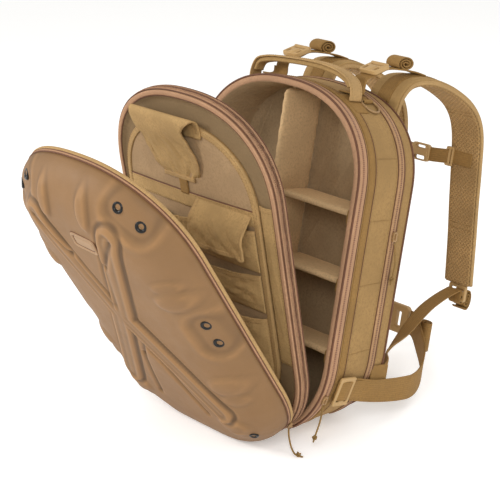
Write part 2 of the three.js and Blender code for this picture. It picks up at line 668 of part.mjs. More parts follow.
function harness() {
  const xAxis = vec(1, 0, 0);
  const zAxis = vec(0, 0, 1);
  pair('shoulder_strap', ribbon(shoulderRoute, {
    width: (t) => mix(shoulder.width, shoulder.foot, smooth(0.35, 1, t)),
    thickness: shoulder.thickness, across: xAxis, steps: 16, soft: 3,
  }), 'fabric');

  // load lifter: anchored on the top of the gusset, sewn to the crest of the shoulder strap
  const crest = shoulderCurve.getPointAt(0.2);
  const anchorZ = topAt(lifter.x - lifter.width / 2) + seat;
  const buckleMiddle = vec(lifter.x, lifter.anchorY + 23, anchorZ + 31);
  const slope = 22 * degree;
  const along = (run) => vec(
    lifter.x, buckleMiddle.y + run * Math.cos(slope), buckleMiddle.z + run * Math.sin(slope),
  );
  const lifterRoute = [
    vec(lifter.x, lifter.anchorY, anchorZ), vec(lifter.x, lifter.anchorY, anchorZ + 12),
    along(-22), along(-12), along(4), along(20),
    vec(lifter.x, crest.y - 20, crest.z + shoulder.thickness / 2 + 6),
    vec(lifter.x, crest.y + 6, crest.z + shoulder.thickness / 2 + lifter.thickness / 2 + seat),
  ];
  const lifterWeb = ribbon(lifterRoute, {
    width: lifter.width, thickness: lifter.thickness, across: xAxis, steps: 14,
  });
  const rollMiddle = vec(lifter.x, buckleMiddle.y + 55, buckleMiddle.z + 17);
  const roll = block(lifter.width, 32, 19, rollMiddle, 0, 0.05);
  pair('load_lifter', fuse(lifterWeb, roll), 'webbing');
  const buckleUp = lifter.thickness / 2 + seat + 3.6;
  const lifterBuckle = plate(33, 30, 7, 5, [[-11.5, -3, 4, 14], [11.5, -3, 4, 14]]);
  lifterBuckle.rotateX(-Math.PI / 2 + slope);
  const buckleSpot = along(4).add(vec(0, -Math.sin(slope), Math.cos(slope)).multiplyScalar(buckleUp));
  lifterBuckle.translate(buckleSpot.x, buckleSpot.y, buckleSpot.z);
  pair('lifter_buckle', lifterBuckle, 'plastic');

  // ladder lock under the strap's foot, and the narrow strap that runs from it to the base
  const foot = shoulderCurve.getPointAt(1);
  const lock = { width: 34, height: 27, thickness: 6 };
  const lockMiddle = vec(foot.x, foot.y + 1, foot.z - seat - 1.5 - lock.height / 2);
  const lockPlate = plate(lock.width, lock.height, lock.thickness, 4, [[0, 5.5, 26, 4], [0, -5.5, 26, 4]]);
  lockPlate.translate(lockMiddle.x, lockMiddle.y, lockMiddle.z);
  pair('ladder_lock', lockPlate, 'plastic');
  const webY = lockMiddle.y - lock.thickness / 2 - seat - narrowWeb.thickness / 2;
  const sideX = (y, z) => halfAt(z - liftAt(y));
  const tailZ = packHeight * 0.212;
  const tailX = sideX(backFace - 22, tailZ) + narrowWeb.thickness / 2 + 1.3;
  const lowerRoute = [
    vec(shoulder.x, webY, lockMiddle.z - 9), vec(shoulder.x, webY - 0.6, lockMiddle.z + 4),
    vec(shoulder.x + 3, webY - 18, lockMiddle.z + 3), vec(shoulder.x + 13, webY - 82, lockMiddle.z - 18),
    vec(shoulder.x + 27, webY - 145, lockMiddle.z - 56),
    vec(shoulder.x + 46, webY - 195, lockMiddle.z - 76),
    vec(tailX - 12, backFace + 14, tailZ + 3),
    vec(tailX, backFace - 8, tailZ), vec(tailX, backFace - 24, tailZ - 2),
  ];
  const turnOver = [
    xAxis, xAxis, xAxis, xAxis, vec(0.9, 0.2, 0.3), vec(0.6, 0.3, 0.7), vec(0.2, 0, 1), zAxis, zAxis,
  ];
  const lowerWeb = ribbon(lowerRoute, { ...narrowWeb, across: turnOver, steps: 15 });
  const lockFoot = lockMiddle.z - lock.height / 2;
  const rollY = lockMiddle.y + lock.thickness / 2 + seat + 8;
  const endRoll = block(27, 16, 32, vec(shoulder.x, rollY, lockMiddle.z - 10));
  const tailWidth = narrowWeb.width - 2;
  const tail = block(tailWidth, 12, 3, vec(shoulder.x, lockMiddle.y, lockFoot - seat - 1.6));
  const tailBack = block(tailWidth, narrowWeb.thickness, 14, vec(shoulder.x, webY, lockFoot + 2));
  pair('lower_strap', fuse(lowerWeb, tailBack, tail, endRoll), 'webbing');

  // sternum strap across the front of both shoulder straps
  const { at: hold, up } = strapAtHeight(sternum.height * packHeight);
  const webFace = hold.y - (shoulder.thickness / 2 + sternum.thickness / 2 + seat) / up.z - 0.3;
  pair('sternum_strap', ribbon([
    vec(hold.x + 10, webFace, hold.z), vec(hold.x - 20, webFace - 0.6, hold.z),
    vec(hold.x - 36, webFace - 5, hold.z - 2), vec(sternum.gap + 0.7, webFace - 9, hold.z - 4),
  ], {
    width: sternum.width, thickness: sternum.thickness, across: [up, up, zAxis, zAxis], steps: 6,
  }), 'webbing');
  const slots = [[0, 8.5, 18, 4], [0, -8.5, 18, 4]];
  const clip = plate(2 * (sternum.gap - seat), sternum.width + 5, 8, 5, slots);
  clip.translate(0, webFace - 9, hold.z - 4);
  piece(pack, 'sternum_buckle', clip, 'plastic');
}

function waistBelt() {
  const zAxis = vec(0, 0, 1);
  const z = belt.height * packHeight;
  const side = halfAt(z) + belt.thickness / 2 + 0.6;
  const slant = vec(0.26, 0, 0.965);
  const back = backFace - 15;
  // loop behind the bag: shares of the side's distance out, of the belt's reach, and rise
  const rows = [[1.005, 0.28, -9], [0.97, 0.42, -9], [0.88, 0.58, -4], [0.71, 0.76, 12], [0.48, 0.9, 31]];
  const close = vec(belt.buckle + 1.2, back + belt.reach * 1.02, z + 45);
  const loopPoint = ([out, reach, rise], lift) => (
    vec(side * out, back + belt.reach * reach, z + rise + lift * Math.sin(Math.PI * reach))
  );
  const route = (lift) => [
    vec(side, belt.start, z), vec(side, belt.start + 17, z), vec(side, belt.start + 34, z - 1),
    vec(side + 2.6, back - 10, z - 6),
    ...rows.map((row) => loopPoint(row, lift)),
    vec(belt.buckle + 16, back + belt.reach * 0.99, close.z - 0.8), close,
  ];
  const hold = [slant, slant, slant, vec(0.1, 0, 1), zAxis, zAxis, zAxis, zAxis, zAxis, zAxis, zAxis];
  const shape = { width: belt.width, thickness: belt.thickness, steps: 20, across: hold };
  const rightRoute = route(0);
  const rightWeb = ribbon(rightRoute, shape);
  const rollAt = new THREE.CatmullRomCurve3(rightRoute, false, 'centripetal').getPointAt(0.9);
  const rollTurn = -34 * degree;
  const outward = vec(-Math.sin(rollTurn), Math.cos(rollTurn), 0);
  const roll = block(24, 16, 46, rollAt.clone().addScaledVector(outward, 8.5).add(vec(0, 0, -4)), rollTurn);
  piece(pack, 'waist_belt_right', fuse(rightWeb, roll), 'webbing');
  piece(pack, 'waist_belt_left', mirrored(ribbon(route(12), shape)), 'webbing');
  const clip = plate(2 * (belt.buckle - seat), belt.width + 8, 11, 8, [[-13, 0, 10, 24], [13, 0, 10, 24]]);
  clip.translate(0, close.y, close.z);
  piece(pack, 'waist_buckle', clip, 'plastic');
  // tri-glide lying on the start of the belt
  const glide = plate(30, belt.width + 8, 4, 3, [[-7, 0, 6, belt.width - 6], [7, 0, 6, belt.width - 6]]);
  glide.rotateZ(Math.PI / 2);
  glide.rotateY(Math.atan2(slant.x, slant.z));
  const off = belt.thickness / 2 + seat + 2;
  glide.translate(side + off * slant.z, belt.start + 12, z - off * slant.x);
  pair('tri_glide', glide, 'plastic');
}

function topFittings() {
  const { left, right, y, rise } = handle;
  const footAt = (x) => topAt(Math.abs(x) - handle.thickness / 2) + seat + liftAt(y) * 0.02;
  const crown = packHeight + rise;
  piece(pack, 'grab_handle', ribbon([
    vec(left, y, footAt(left)), vec(left, y, footAt(left) + 15),
    vec(left + 6, y, crown - 12), vec(left + 22, y, crown - 6), vec(left * 0.3, y, crown - 1),
    vec(right * 0.4, y, crown), vec(right - 22, y, crown - 6), vec(right - 5, y, crown - 15),
    vec(right, y, footAt(right) + 10), vec(right, y, footAt(right)),
  ], {
    width: handle.width, thickness: handle.thickness, across: vec(0, 1, 0), steps: 18, soft: 2.5,
  }), 'webbing');

  // D ring lying on the slope of the arch
  const slope = Math.atan2(topAt(ring.x - 5) - topAt(ring.x + 5), 10);
  const flat = [
    [-0.8, -1], [0.8, -1], [1.05, -0.6], [1, 0.2], [0.6, 0.85], [0, 1.05], [-0.6, 0.85], [-1, 0.2], [-1.05, -0.6],
  ];
  const lift = vec(Math.sin(slope), 0, Math.cos(slope)).multiplyScalar(ring.wire + 1.1);
  const route = flat.map(([a, b]) => {
    const [across, down] = [a * ring.radius, b * ring.radius];
    const z = topAt(ring.x) - down * Math.sin(slope);
    return vec(ring.x + down * Math.cos(slope), ring.y + across, z).add(lift);
  });
  pair('d_ring', hoop(route, ring.wire), 'metal');
}

// Zip sliders and the knotted cords on them; the cords' points are chosen by hand
function zipPulls() {
  const bandFace = seat + bandThickness + seat;
  const slider = (name, group, centre, tilt) => {
    const body = plate(8, 14, 4, 2);
    body.rotateZ(Math.PI / 2);
    body.rotateY(tilt);
    body.translate(centre.x, centre.y, centre.z);
    piece(group, name, body, 'metal');
  };
  const mainZ = packHeight * 0.15;
  const mainX = halfAt(mainZ - 1) + bandFace + 2.2;
  slider('main_slider', pack, vec(mainX, bandEdge + bandWidth / 2, mainZ), 18 * degree);
  piece(pack, 'main_pull_cord', cord([
    vec(158.6, 8.4, 67.4), vec(161.8, 6, 56), vec(163, 3, 42), vec(161, 1.5, 27), vec(159, 1, 14),
  ], 8), 'webbing');
  const rearZ = packHeight * 0.618;
  const rearX = halfWidth + bandFace + 2.1;
  slider('rear_slider', pack, vec(rearX, gussetDepth - bandWidth / 2, rearZ), 0);
  piece(pack, 'rear_pull_cord', cord([
    vec(170.5, 88, 301), vec(173, 89, 291), vec(175, 91, 275), vec(174, 92, 258), vec(171.5, 93, 240),
  ], 9), 'webbing');
  piece(pack, 'shell_pull_cord', cord([
    vec(131.6, -23.2, 28.2), vec(134, -24.2, 21), vec(139, -25, 12), vec(145, -25.4, 4),
    vec(152, -25, -1.8), vec(158, -23.6, -2.9), vec(165, -21, -2.4),
  ], 10), 'webbing');
  const turn = 44 * degree;
  const out = shellSize.cornerRadius + bandThickness + seat + 2.1;
  const [footU, footV] = [
    shellSize.halfWidth - shellSize.cornerRadius + out * Math.cos(turn),
    shellSize.cornerRadius - out * Math.sin(turn),
  ];
  slider('shell_slider', shell, leaf(footU, footV, -bindingDepth / 2), turn);
}

mainCompartment();
insideFittings();
organizerLeaf();
organizerPockets();
shellLeaf();
harness();
waistBelt();
topFittings();
zipPulls();

organizer.position.set(0, organizerHinge.y, organizerHinge.z);
organizer.rotation.x = organizerTilt;
shell.position.set(0, shellHinge.y, shellHinge.z);
shell.rotation.x = shellTilt;

// The origin is on the floor under the middle of the base
const baseMiddle = (gussetDepth * 0.5) / Math.cos(lean);
const bag = new THREE.Group();
pack.rotation.x = -lean;
pack.position.set(0, -baseMiddle, 0);
bag.add(pack);

export default bag;
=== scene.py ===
"""Dresses a hard shell backpack that stands opened out on its base.

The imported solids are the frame. Sizes are in millimetres in the bag's own upright frame and are
turned into metres in the frame of the solids where a piece is placed.
"""
import json
import logging
from dataclasses import dataclass
from enum import Enum
from math import atan2, copysign, cos, pi, radians, sin, sqrt, tan
from typing import Callable, Sequence

import bmesh
import bpy
import numpy as np
from mathutils import Matrix, Vector
from numpy.linalg import norm

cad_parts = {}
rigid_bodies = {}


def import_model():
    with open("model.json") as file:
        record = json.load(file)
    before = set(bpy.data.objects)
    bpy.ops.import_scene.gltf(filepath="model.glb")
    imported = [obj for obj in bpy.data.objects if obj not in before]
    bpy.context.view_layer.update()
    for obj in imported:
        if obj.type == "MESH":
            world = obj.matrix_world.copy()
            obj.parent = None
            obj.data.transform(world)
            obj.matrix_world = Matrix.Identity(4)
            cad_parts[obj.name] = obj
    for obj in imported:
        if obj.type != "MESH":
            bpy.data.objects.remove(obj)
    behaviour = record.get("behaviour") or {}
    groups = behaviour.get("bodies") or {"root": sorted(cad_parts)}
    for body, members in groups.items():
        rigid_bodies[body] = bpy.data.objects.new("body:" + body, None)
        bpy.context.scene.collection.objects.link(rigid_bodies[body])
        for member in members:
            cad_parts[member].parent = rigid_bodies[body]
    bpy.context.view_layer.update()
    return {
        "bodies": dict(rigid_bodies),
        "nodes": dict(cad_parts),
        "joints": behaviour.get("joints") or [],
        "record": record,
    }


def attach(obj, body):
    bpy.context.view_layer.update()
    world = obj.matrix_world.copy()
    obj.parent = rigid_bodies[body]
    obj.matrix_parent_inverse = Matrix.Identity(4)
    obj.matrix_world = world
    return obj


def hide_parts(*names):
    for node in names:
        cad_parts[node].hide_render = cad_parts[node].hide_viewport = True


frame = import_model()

LOG = logging.getLogger("backpack")
MM = 0.001
LEAN = radians(10.5)
CASE_DEPTH = 93.0
REAR_DEPTH = 32.0
BASE_MIDDLE = CASE_DEPTH / 2 / cos(LEAN)
SEAT = 0.4
BACK = CASE_DEPTH + REAR_DEPTH
METRE = 1000.0
FINE = 16

Array = np.ndarray
Point = tuple[float, float, float]
Pair = tuple[float, float]
Piece = bpy.types.Object
Socket = bpy.types.NodeSocket
Material = bpy.types.Material


def tone(red: int, green: int, blue: int) -> tuple[float, float, float, float]:
    """Return a screen colour of 0 to 255 as a linear colour with full alpha."""
    linear = [c / 3294.6 if c <= 10 else ((c / 255 + 0.055) / 1.055) ** 2.4 for c in (red, green, blue)]
    return (linear[0], linear[1], linear[2], 1.0)


def smooth(low: float, high: float, x: Array) -> Array:
    """Return the smooth step from 0 at low to 1 at high."""
    t = np.clip((np.asarray(x, float) - low) / (high - low), 0, 1)
    return t * t * (3 - 2 * t)


# Places


@dataclass(frozen=True)
class Leaf:
    """A leaf of the bag: u across, v up it, h out of its front face, hinged at its foot."""

    tilt: float = 0.0
    hinge_y: float = 0.0
    hinge_z: float = 0.0

    def place(self, u: Array | float, v: Array | float, h: Array | float) -> Array:
        """Turn leaf coordinates into metres in the frame of the solids.

        Args:
            u: distance across in millimetres.
            v: distance up the leaf.
            h: distance out of its front face.

        Returns:
            Points with x, y and z last.
        """
        u, v, h = np.broadcast_arrays(*(np.asarray(a, float) for a in (u, v, h)))
        t = radians(self.tilt)
        y = self.hinge_y - sin(t) * v - cos(t) * h
        z = self.hinge_z + cos(t) * v - sin(t) * h
        world_y = y * cos(LEAN) + z * sin(LEAN) - BASE_MIDDLE
        world_z = -y * sin(LEAN) + z * cos(LEAN)
        return np.stack([u, world_y, world_z], -1) * MM

    def normal(self) -> Array:
        """Return the direction out of the front face."""
        step = self.place(0, 0, 1) - self.place(0, 0, 0)
        return step / norm(step)

    def up(self) -> Array:
        """Return a step of a millimetre up the leaf."""
        return self.place(0, 1, 0) - self.place(0, 0, 0)

    def heading(self, u: float, v: float) -> Array:
        """Return a direction in the leaf's plane as one in the frame of the solids."""
        return self.place(u * METRE, v * METRE, 0) - self.place(0, 0, 0)


CASE = Leaf()
ORGANIZER = Leaf(21.0, 6.8, 10.0)
SHELL = Leaf(42.6, -6.7, 6.5)


def bag(points: Sequence[Sequence[float]]) -> Array:
    """Return upright bag points (x, y, z in millimetres) as metres in the frame of the solids."""
    p = np.asarray(points, float)
    return CASE.place(p[..., 0], p[..., 2], -p[..., 1])


def heading(directions: Sequence[float] | Array) -> Array:
    """Return directions in the upright bag's own frame as directions in the frame of the solids."""
    return bag(np.asarray(directions, float) * METRE) - bag((0, 0, 0))


def blended(headings: Sequence[Sequence[float]], steps: int) -> Array:
    """Spread directions of the upright bag evenly over the steps + 1 points of a line."""
    share, places = np.linspace(0, 1, steps + 1), np.linspace(0, 1, len(headings))
    return heading(np.stack([np.interp(share, places, [h[k] for h in headings]) for k in range(3)], -1))


def full_turn(count: int) -> Array:
    """Return evenly spaced angles round a circle."""
    return np.linspace(0, 2 * pi, count, endpoint=False)


@dataclass(frozen=True)
class Arch:
    """An arched outline: flat foot, round corners, straight sides and a superellipse top."""

    half_width: float = 165.0
    height: float = 500.0
    rise: float = 135.0
    corner: float = 120.0
    centre: float = 0.0
    foot: float = 0.0
    power: float = 2.35

    def line(self, inset: float = 0.0, fine: int = 12) -> Array:
        """Return the closed outline as (u, v) rows, from the middle of the foot and round.

        Args:
            inset: distance drawn in all round.
            fine: how finely it is divided.

        Returns:
            An array of 18 times fine rows.
        """
        w, r = self.half_width - inset, max(self.corner - inset, 1.0)
        a, spring = self.rise - inset, self.height - self.rise
        foot = [((w - r) * k / fine, inset) for k in range(fine)]
        angles = [pi / 2 * k / (2 * fine) for k in range(2 * fine)]
        corner = [(w - r + r * sin(t), inset + r - r * cos(t)) for t in angles]
        side = [(w, inset + r + (spring - inset - r) * k / (2 * fine)) for k in range(2 * fine)]
        q = 2 / self.power
        arch = [
            (w * cos(t) ** q, spring + a * sin(t) ** q)
            for t in (pi / 2 * k / (4 * fine) for k in range(4 * fine))
        ]
        half = foot + corner + side + arch
        left = [(-u, v) for u, v in half[:0:-1]]
        ring = np.array(half + [(0.0, self.height - inset)] + left)
        return ring + np.array([self.centre, self.foot])

    def half_at(self, v: float) -> float:
        """Return the half width at a height."""
        v = v - self.foot
        spring = self.height - self.rise
        if v < self.corner:
            drop = self.corner - max(v, 0.0)
            return self.half_width - self.corner + sqrt(max(self.corner**2 - drop**2, 0.0))
        if v < spring:
            return self.half_width
        t = min((v - spring) / self.rise, 1.0)
        return self.half_width * (1 - t**self.power) ** (1 / self.power)

    def top_at(self, u: float) -> float:
        """Return the height of the outline's top over a place across it."""
        t = min(abs(u - self.centre) / self.half_width, 1.0)
        return self.foot + self.height - self.rise + self.rise * (1 - t**self.power) ** (1 / self.power)


OUTLINE = Arch()
SHELL_OUTLINE = Arch(168.3, 510.0, 137.7, 122.4)
POCKET_OUTLINE = Arch(137.5, 427.0, 112.0, 108.0, -12.5, 30.0)
PAD_OUTLINE = Arch(122.0, 385.0, 100.0, 60.0, 0.0, 48.0)


def gusset(inset: float, depth: Array | float, ring: Array | None = None) -> Array:
    """Return a ring of the case at a depth behind its front edge, on its sloping base.

    Args:
        inset: distance drawn in from the outline.
        depth: distance behind the front edge.
        ring: the outline to use, where it isn't the case's own.

    Returns:
        Points in metres.
    """
    line = OUTLINE.line(inset) if ring is None else ring
    lift = np.asarray(depth, float) * tan(LEAN)
    z = lift + line[:, 1] * (OUTLINE.height - lift) / OUTLINE.height
    return CASE.place(line[:, 0], z, -np.asarray(depth, float))


# Meshes


def add_object(name: str, mesh: bpy.types.Mesh) -> Piece:
    """Link a mesh into the scene under a name and return its object."""
    mesh.name = name
    thing = bpy.data.objects.new(name, mesh)
    bpy.context.scene.collection.objects.link(thing)
    return thing


def face_out(mesh: bpy.types.Mesh, merge: float = 0.0) -> None:
    """Merge doubles nearer than merge and turn the faces of a closed mesh outwards."""
    work = bmesh.new()
    work.from_mesh(mesh)
    if merge:
        bmesh.ops.remove_doubles(work, verts=work.verts, dist=merge)
    bmesh.ops.recalc_face_normals(work, faces=work.faces)
    work.to_mesh(mesh)
    work.free()


def skin(
    name: str, rings: Array | Sequence[Array], loop: bool = True, joined: bool = False,
    caps: bool = True, merge: float = 0.0,
) -> Piece:
    """Make a mesh through rings of points, with a UV map in metres.

    Args:
        name: the object's name.
        rings: rows of points, all of one length.
        loop: whether each ring closes on itself.
        joined: whether the last ring joins the first.
        caps: whether open ends get a face.
        merge: distance under which points are merged.

    Returns:
        The new object.
    """
    grid = np.asarray(rings, float)
    rows, columns, _ = grid.shape
    down = rows if joined else rows - 1
    round_ = columns if loop else columns - 1
    i, j = (a.ravel() for a in np.meshgrid(np.arange(down), np.arange(round_), indexing="ij"))
    i2, j2 = (i + 1) % rows, (j + 1) % columns
    quads = np.stack([i * columns + j, i * columns + j2, i2 * columns + j2, i2 * columns + j], -1)
    middle = grid.mean(0)
    across = np.concatenate([[0], np.cumsum(norm(np.roll(middle, -1, 0) - middle, axis=1))])
    spine = grid[:, 0]
    along = np.concatenate([[0], np.cumsum(norm(np.roll(spine, -1, 0) - spine, axis=1))])
    uv = np.stack([
        np.stack([across[j], along[i]], -1), np.stack([across[j + 1], along[i]], -1),
        np.stack([across[j + 1], along[i + 1]], -1), np.stack([across[j], along[i + 1]], -1),
    ], 1)
    faces = quads.tolist()
    corners = uv.reshape(-1, 2)
    if caps and loop and not joined:
        for start in (0, (rows - 1) * columns):
            faces.append(list(range(start, start + columns)))
            corners = np.concatenate([corners, np.zeros((columns, 2))])
    mesh = bpy.data.meshes.new(name)
    mesh.from_pydata(grid.reshape(-1, 3).tolist(), [], faces)
    layer = mesh.uv_layers.new(name="Cloth")
    layer.data.foreach_set("uv", corners.astype(np.float32).ravel())
    mesh.polygons.foreach_set("use_smooth", np.ones(len(mesh.polygons), bool))
    if loop or merge:
        face_out(mesh, merge)
    return add_object(name, mesh)


def settle(thing: Piece) -> Piece:
    """Turn an object's modifiers into plain mesh and return it."""
    graph = bpy.context.evaluated_depsgraph_get()
    graph.update()
    mesh = bpy.data.meshes.new_from_object(
        thing.evaluated_get(graph), preserve_all_data_layers=True, depsgraph=graph)
    old, name = thing.data, thing.name
    thing.modifiers.clear()
    thing.data = mesh
    bpy.data.meshes.remove(old)
    mesh.name = name
    return thing


def soften(thing: Piece, levels: int = 1) -> Piece:
    """Subdivide a mesh smoothly and return its object."""
    modifier = thing.modifiers.new("Smooth", "SUBSURF")
    modifier.levels = modifier.render_levels = levels
    return settle(thing)


def cloth_sheet(name: str, surface: Array, thickness: float) -> Piece:
    """Make a closed sheet of cloth from a grid of points.

    Args:
        name: the object's name.
        surface: grid of points in metres.
        thickness: cloth thickness in millimetres, added on both sides.

    Returns:
        The new object.
    """
    thing = skin(name, surface, loop=False)
    modifier = thing.modifiers.new("Thickness", "SOLIDIFY")
    modifier.thickness = thickness * MM
    modifier.offset = 0.0
    modifier.use_even_offset = False
    settle(thing)
    face_out(thing.data)
    return thing


def joined(name: str, things: Sequence[Piece]) -> Piece:
    """Join objects that share a finish into one and return it."""
    with bpy.context.temp_override(
        active_object=things[0], object=things[0], selected_editable_objects=list(things),
        selected_objects=list(things),
    ):
        bpy.ops.object.join()
    things[0].name = things[0].data.name = name
    return things[0]


def mirrored(thing: Piece, name: str) -> Piece:
    """Return a copy of an object mirrored across the middle of the bag."""
    mesh = thing.data.copy()
    mesh.transform(Matrix.Scale(-1, 4, Vector((1, 0, 0))))
    mesh.flip_normals()
    return add_object(name, mesh)


def curve_through(points: Array, steps: int) -> Array:
    """Run a centripetal curve through points and divide it evenly.

    Args:
        points: the points it passes.
        steps: how many equal steps to divide it into.

    Returns:
        An array of steps + 1 points.
    """
    p = np.asarray(points, float)
    p = np.vstack([2 * p[0] - p[1], p, 2 * p[-1] - p[-2]])
    dense: list[Array] = []
    for k in range(1, len(p) - 2):
        a, b, c, d = p[k - 1 : k + 3]
        t1 = max(norm(b - a), 1e-9) ** 0.5
        t2 = t1 + max(norm(c - b), 1e-9) ** 0.5
        t3 = t2 + max(norm(d - c), 1e-9) ** 0.5
        t = np.linspace(t1, t2, 24, endpoint=False)[:, None]
        ab = a + (b - a) * t / t1
        bc = b + (c - b) * (t - t1) / (t2 - t1)
        cd = c + (d - c) * (t - t2) / (t3 - t2)
        abc = ab + (bc - ab) * t / t2
        bcd = bc + (cd - bc) * (t - t1) / (t3 - t1)
        dense.append(abc + (bcd - abc) * (t - t1) / (t2 - t1))
    line = np.vstack([*dense, p[-2]])
    return divided(line, steps)


def divided(line: Array, steps: int) -> Array:
    """Divide a line of points into equal steps along its length."""
    run = np.concatenate([[0], np.cumsum(norm(np.diff(line, axis=0), axis=1))])
    at = np.linspace(0, run[-1], steps + 1)
    return np.stack([np.interp(at, run, line[:, k]) for k in range(line.shape[1])], -1)


def tangents(line: Array) -> Array:
    """Return the unit direction of a line at each of its points."""
    step = np.gradient(line, axis=0)
    return step / np.maximum(norm(step, axis=1), 1e-12)[:, None]


def sides_along(line: Array, across: Array) -> tuple[Array, Array]:
    """Return the side and out directions along a line whose width is held towards across."""
    run = tangents(line)
    side = across - (across * run).sum(1)[:, None] * run
    side /= np.maximum(norm(side, axis=1), 1e-12)[:, None]
    return side, np.cross(run, side)


@dataclass(frozen=True)
class Strap:
    """Flat webbing or a padded strap with rounded edges."""

    width: float
    thickness: float
    edge: float = 0.8
    crown: float = 0.0

    def section(self, width: float) -> Array:
        """Return the closed cross-section as (across, out) rows in millimetres."""
        half, deep = width / 2, self.thickness / 2
        round_ = min(self.edge * deep, half)
        top: list[Pair] = []
        for k in range(9):
            s = -1 + 2 * k / 8
            top.append((s * (half - round_), deep + self.crown * (1 - s * s)))
        corner = [pi / 2 * k / 4 for k in range(1, 4)]
        right = [(half - round_ + round_ * sin(t), deep - round_ + round_ * cos(t)) for t in corner]
        upper = top + right
        lower = [(-x, -z) for x, z in upper]
        return np.array(upper + lower)

    def lay(
        self, name: str, line: Array, across: Array, width: Callable[[float], float] | None = None,
    ) -> Piece:
        """Sweep the strap along a line.

        Args:
            name: the object's name.
            line: points in metres.
            across: the direction of its width at each point, or one for all.
            width: the width in millimetres by share of the length, where it changes.

        Returns:
            The new object.
        """
        side, out = sides_along(line, np.broadcast_to(np.asarray(across, float), line.shape))
        rings = []
        for k, centre in enumerate(line):
            wide = width(k / (len(line) - 1)) if width else self.width
            section = self.section(wide) * MM
            rings.append(centre + section[:, :1] * side[k] + section[:, 1:] * out[k])
        return skin(name, rings)


# Geometry node trees


class NodeBuilder:
    """Adds and links the nodes of one node tree."""

    def __init__(self, tree: bpy.types.NodeTree) -> None:
        """Work on a node tree."""
        self.tree = tree

    def node(self, kind: str, **settings: object) -> bpy.types.Node:
        """Add a node with its settings and return it."""
        made = self.tree.nodes.new(kind)
        for key, value in settings.items():
            setattr(made, key, value)
        return made

    def link(self, source: Socket, target: Socket) -> None:
        """Link one socket to another."""
        self.tree.links.new(source, target)

    def wire(self, source: bpy.types.Node, out: str, target: bpy.types.Node, into: str) -> None:
        """Link a named output of one node to a named input of another."""
        self.link(source.outputs[out], target.inputs[into])


class Tree(NodeBuilder):
    """A Geometry Nodes tree with named inputs that turns a line of points into a plain mesh."""

    def __init__(self, name: str, sizes: dict[str, float]) -> None:
        """Start a tree.

        Args:
            name: the tree's name.
            sizes: each named size with its value in metres.
        """
        super().__init__(bpy.data.node_groups.new(name, "GeometryNodeTree"))
        face = self.tree.interface
        face.new_socket("Line", in_out="INPUT", socket_type="NodeSocketGeometry")
        for label, value in sizes.items():
            socket = face.new_socket(label, in_out="INPUT", socket_type="NodeSocketFloat")
            socket.default_value = value
        face.new_socket("Finish", in_out="INPUT", socket_type="NodeSocketMaterial")
        face.new_socket("Mesh", in_out="OUTPUT", socket_type="NodeSocketGeometry")
        self.start, self.end = self.node("NodeGroupInput"), self.node("NodeGroupOutput")

    def close(self, geometry: Socket, smooth_faces: bool = True) -> None:
        """End the tree with Realize Instances and Set Material."""
        real = self.node("GeometryNodeRealizeInstances")
        shade = self.node("GeometryNodeSetShadeSmooth")
        shade.inputs["Shade Smooth"].default_value = smooth_faces
        paint = self.node("GeometryNodeSetMaterial")
        self.link(geometry, real.inputs["Geometry"])
        self.wire(real, "Geometry", shade, "Geometry")
        self.wire(shade, "Geometry", paint, "Geometry")
        self.wire(self.start, "Finish", paint, "Material")
        self.wire(paint, "Geometry", self.end, "Mesh")

    def grow(
        self, name: str, lines: Sequence[Array], finish: Material, outs: Sequence[Array] | None = None,
        ring: bool = False, **sizes: float,
    ) -> Piece:
        """Run the tree on lines of points.

        Args:
            name: the finished object's name.
            lines: the lines in metres.
            finish: its material.
            outs: the outward direction at each point of each line.
            ring: whether each line closes on itself.
            sizes: inputs of the tree by name, in metres, with _ for a blank.

        Returns:
            The finished object, a plain mesh.
        """
        mesh = bpy.data.meshes.new(name)
        points, edges, start = [], [], 0
        for line in lines:
            count = len(line)
            points.extend(np.asarray(line).tolist())
            edges.extend((start + k, start + k + 1) for k in range(count - 1))
            if ring:
                edges.append((start + count - 1, start))
            start += count
        mesh.from_pydata(points, edges, [])
        facing = mesh.attributes.new("out", "FLOAT_VECTOR", "POINT")
        values = np.concatenate([np.broadcast_to(o, np.shape(l)) for o, l in zip(outs, lines)]) if outs else (
            np.tile([0.0, 0.0, 1.0], (len(points), 1)))
        facing.data.foreach_set("vector", np.asarray(values, np.float32).ravel())
        thing = add_object(name, mesh)
        modifier = thing.modifiers.new("Grow", "NODES")
        modifier.node_group = self.tree
        wanted = {key.replace("_", " "): value for key, value in sizes.items()} | {"Finish": finish}
        for item in self.tree.interface.items_tree:
            if item.in_out == "INPUT" and item.name in wanted:
                modifier[item.identifier] = wanted[item.name]
        settle(thing)
        if not thing.data.uv_layers:
            thing.data.uv_layers.new(name="Cloth")
        return thing


def piping_tree() -> Tree:
    """Return the tree that sweeps a round cord along lines."""
    tree = Tree("Piping", {"Radius": 0.001})
    line = tree.node("GeometryNodeMeshToCurve")
    circle = tree.node("GeometryNodeCurvePrimitiveCircle")
    circle.inputs["Resolution"].default_value = 8
    sweep = tree.node("GeometryNodeCurveToMesh")
    sweep.inputs["Fill Caps"].default_value = True
    tree.wire(tree.start, "Line", line, "Mesh")
    tree.wire(tree.start, "Radius", circle, "Radius")
    tree.wire(line, "Curve", sweep, "Curve")
    tree.wire(circle, "Curve", sweep, "Profile Curve")
    tree.close(sweep.outputs["Mesh"])
    return tree


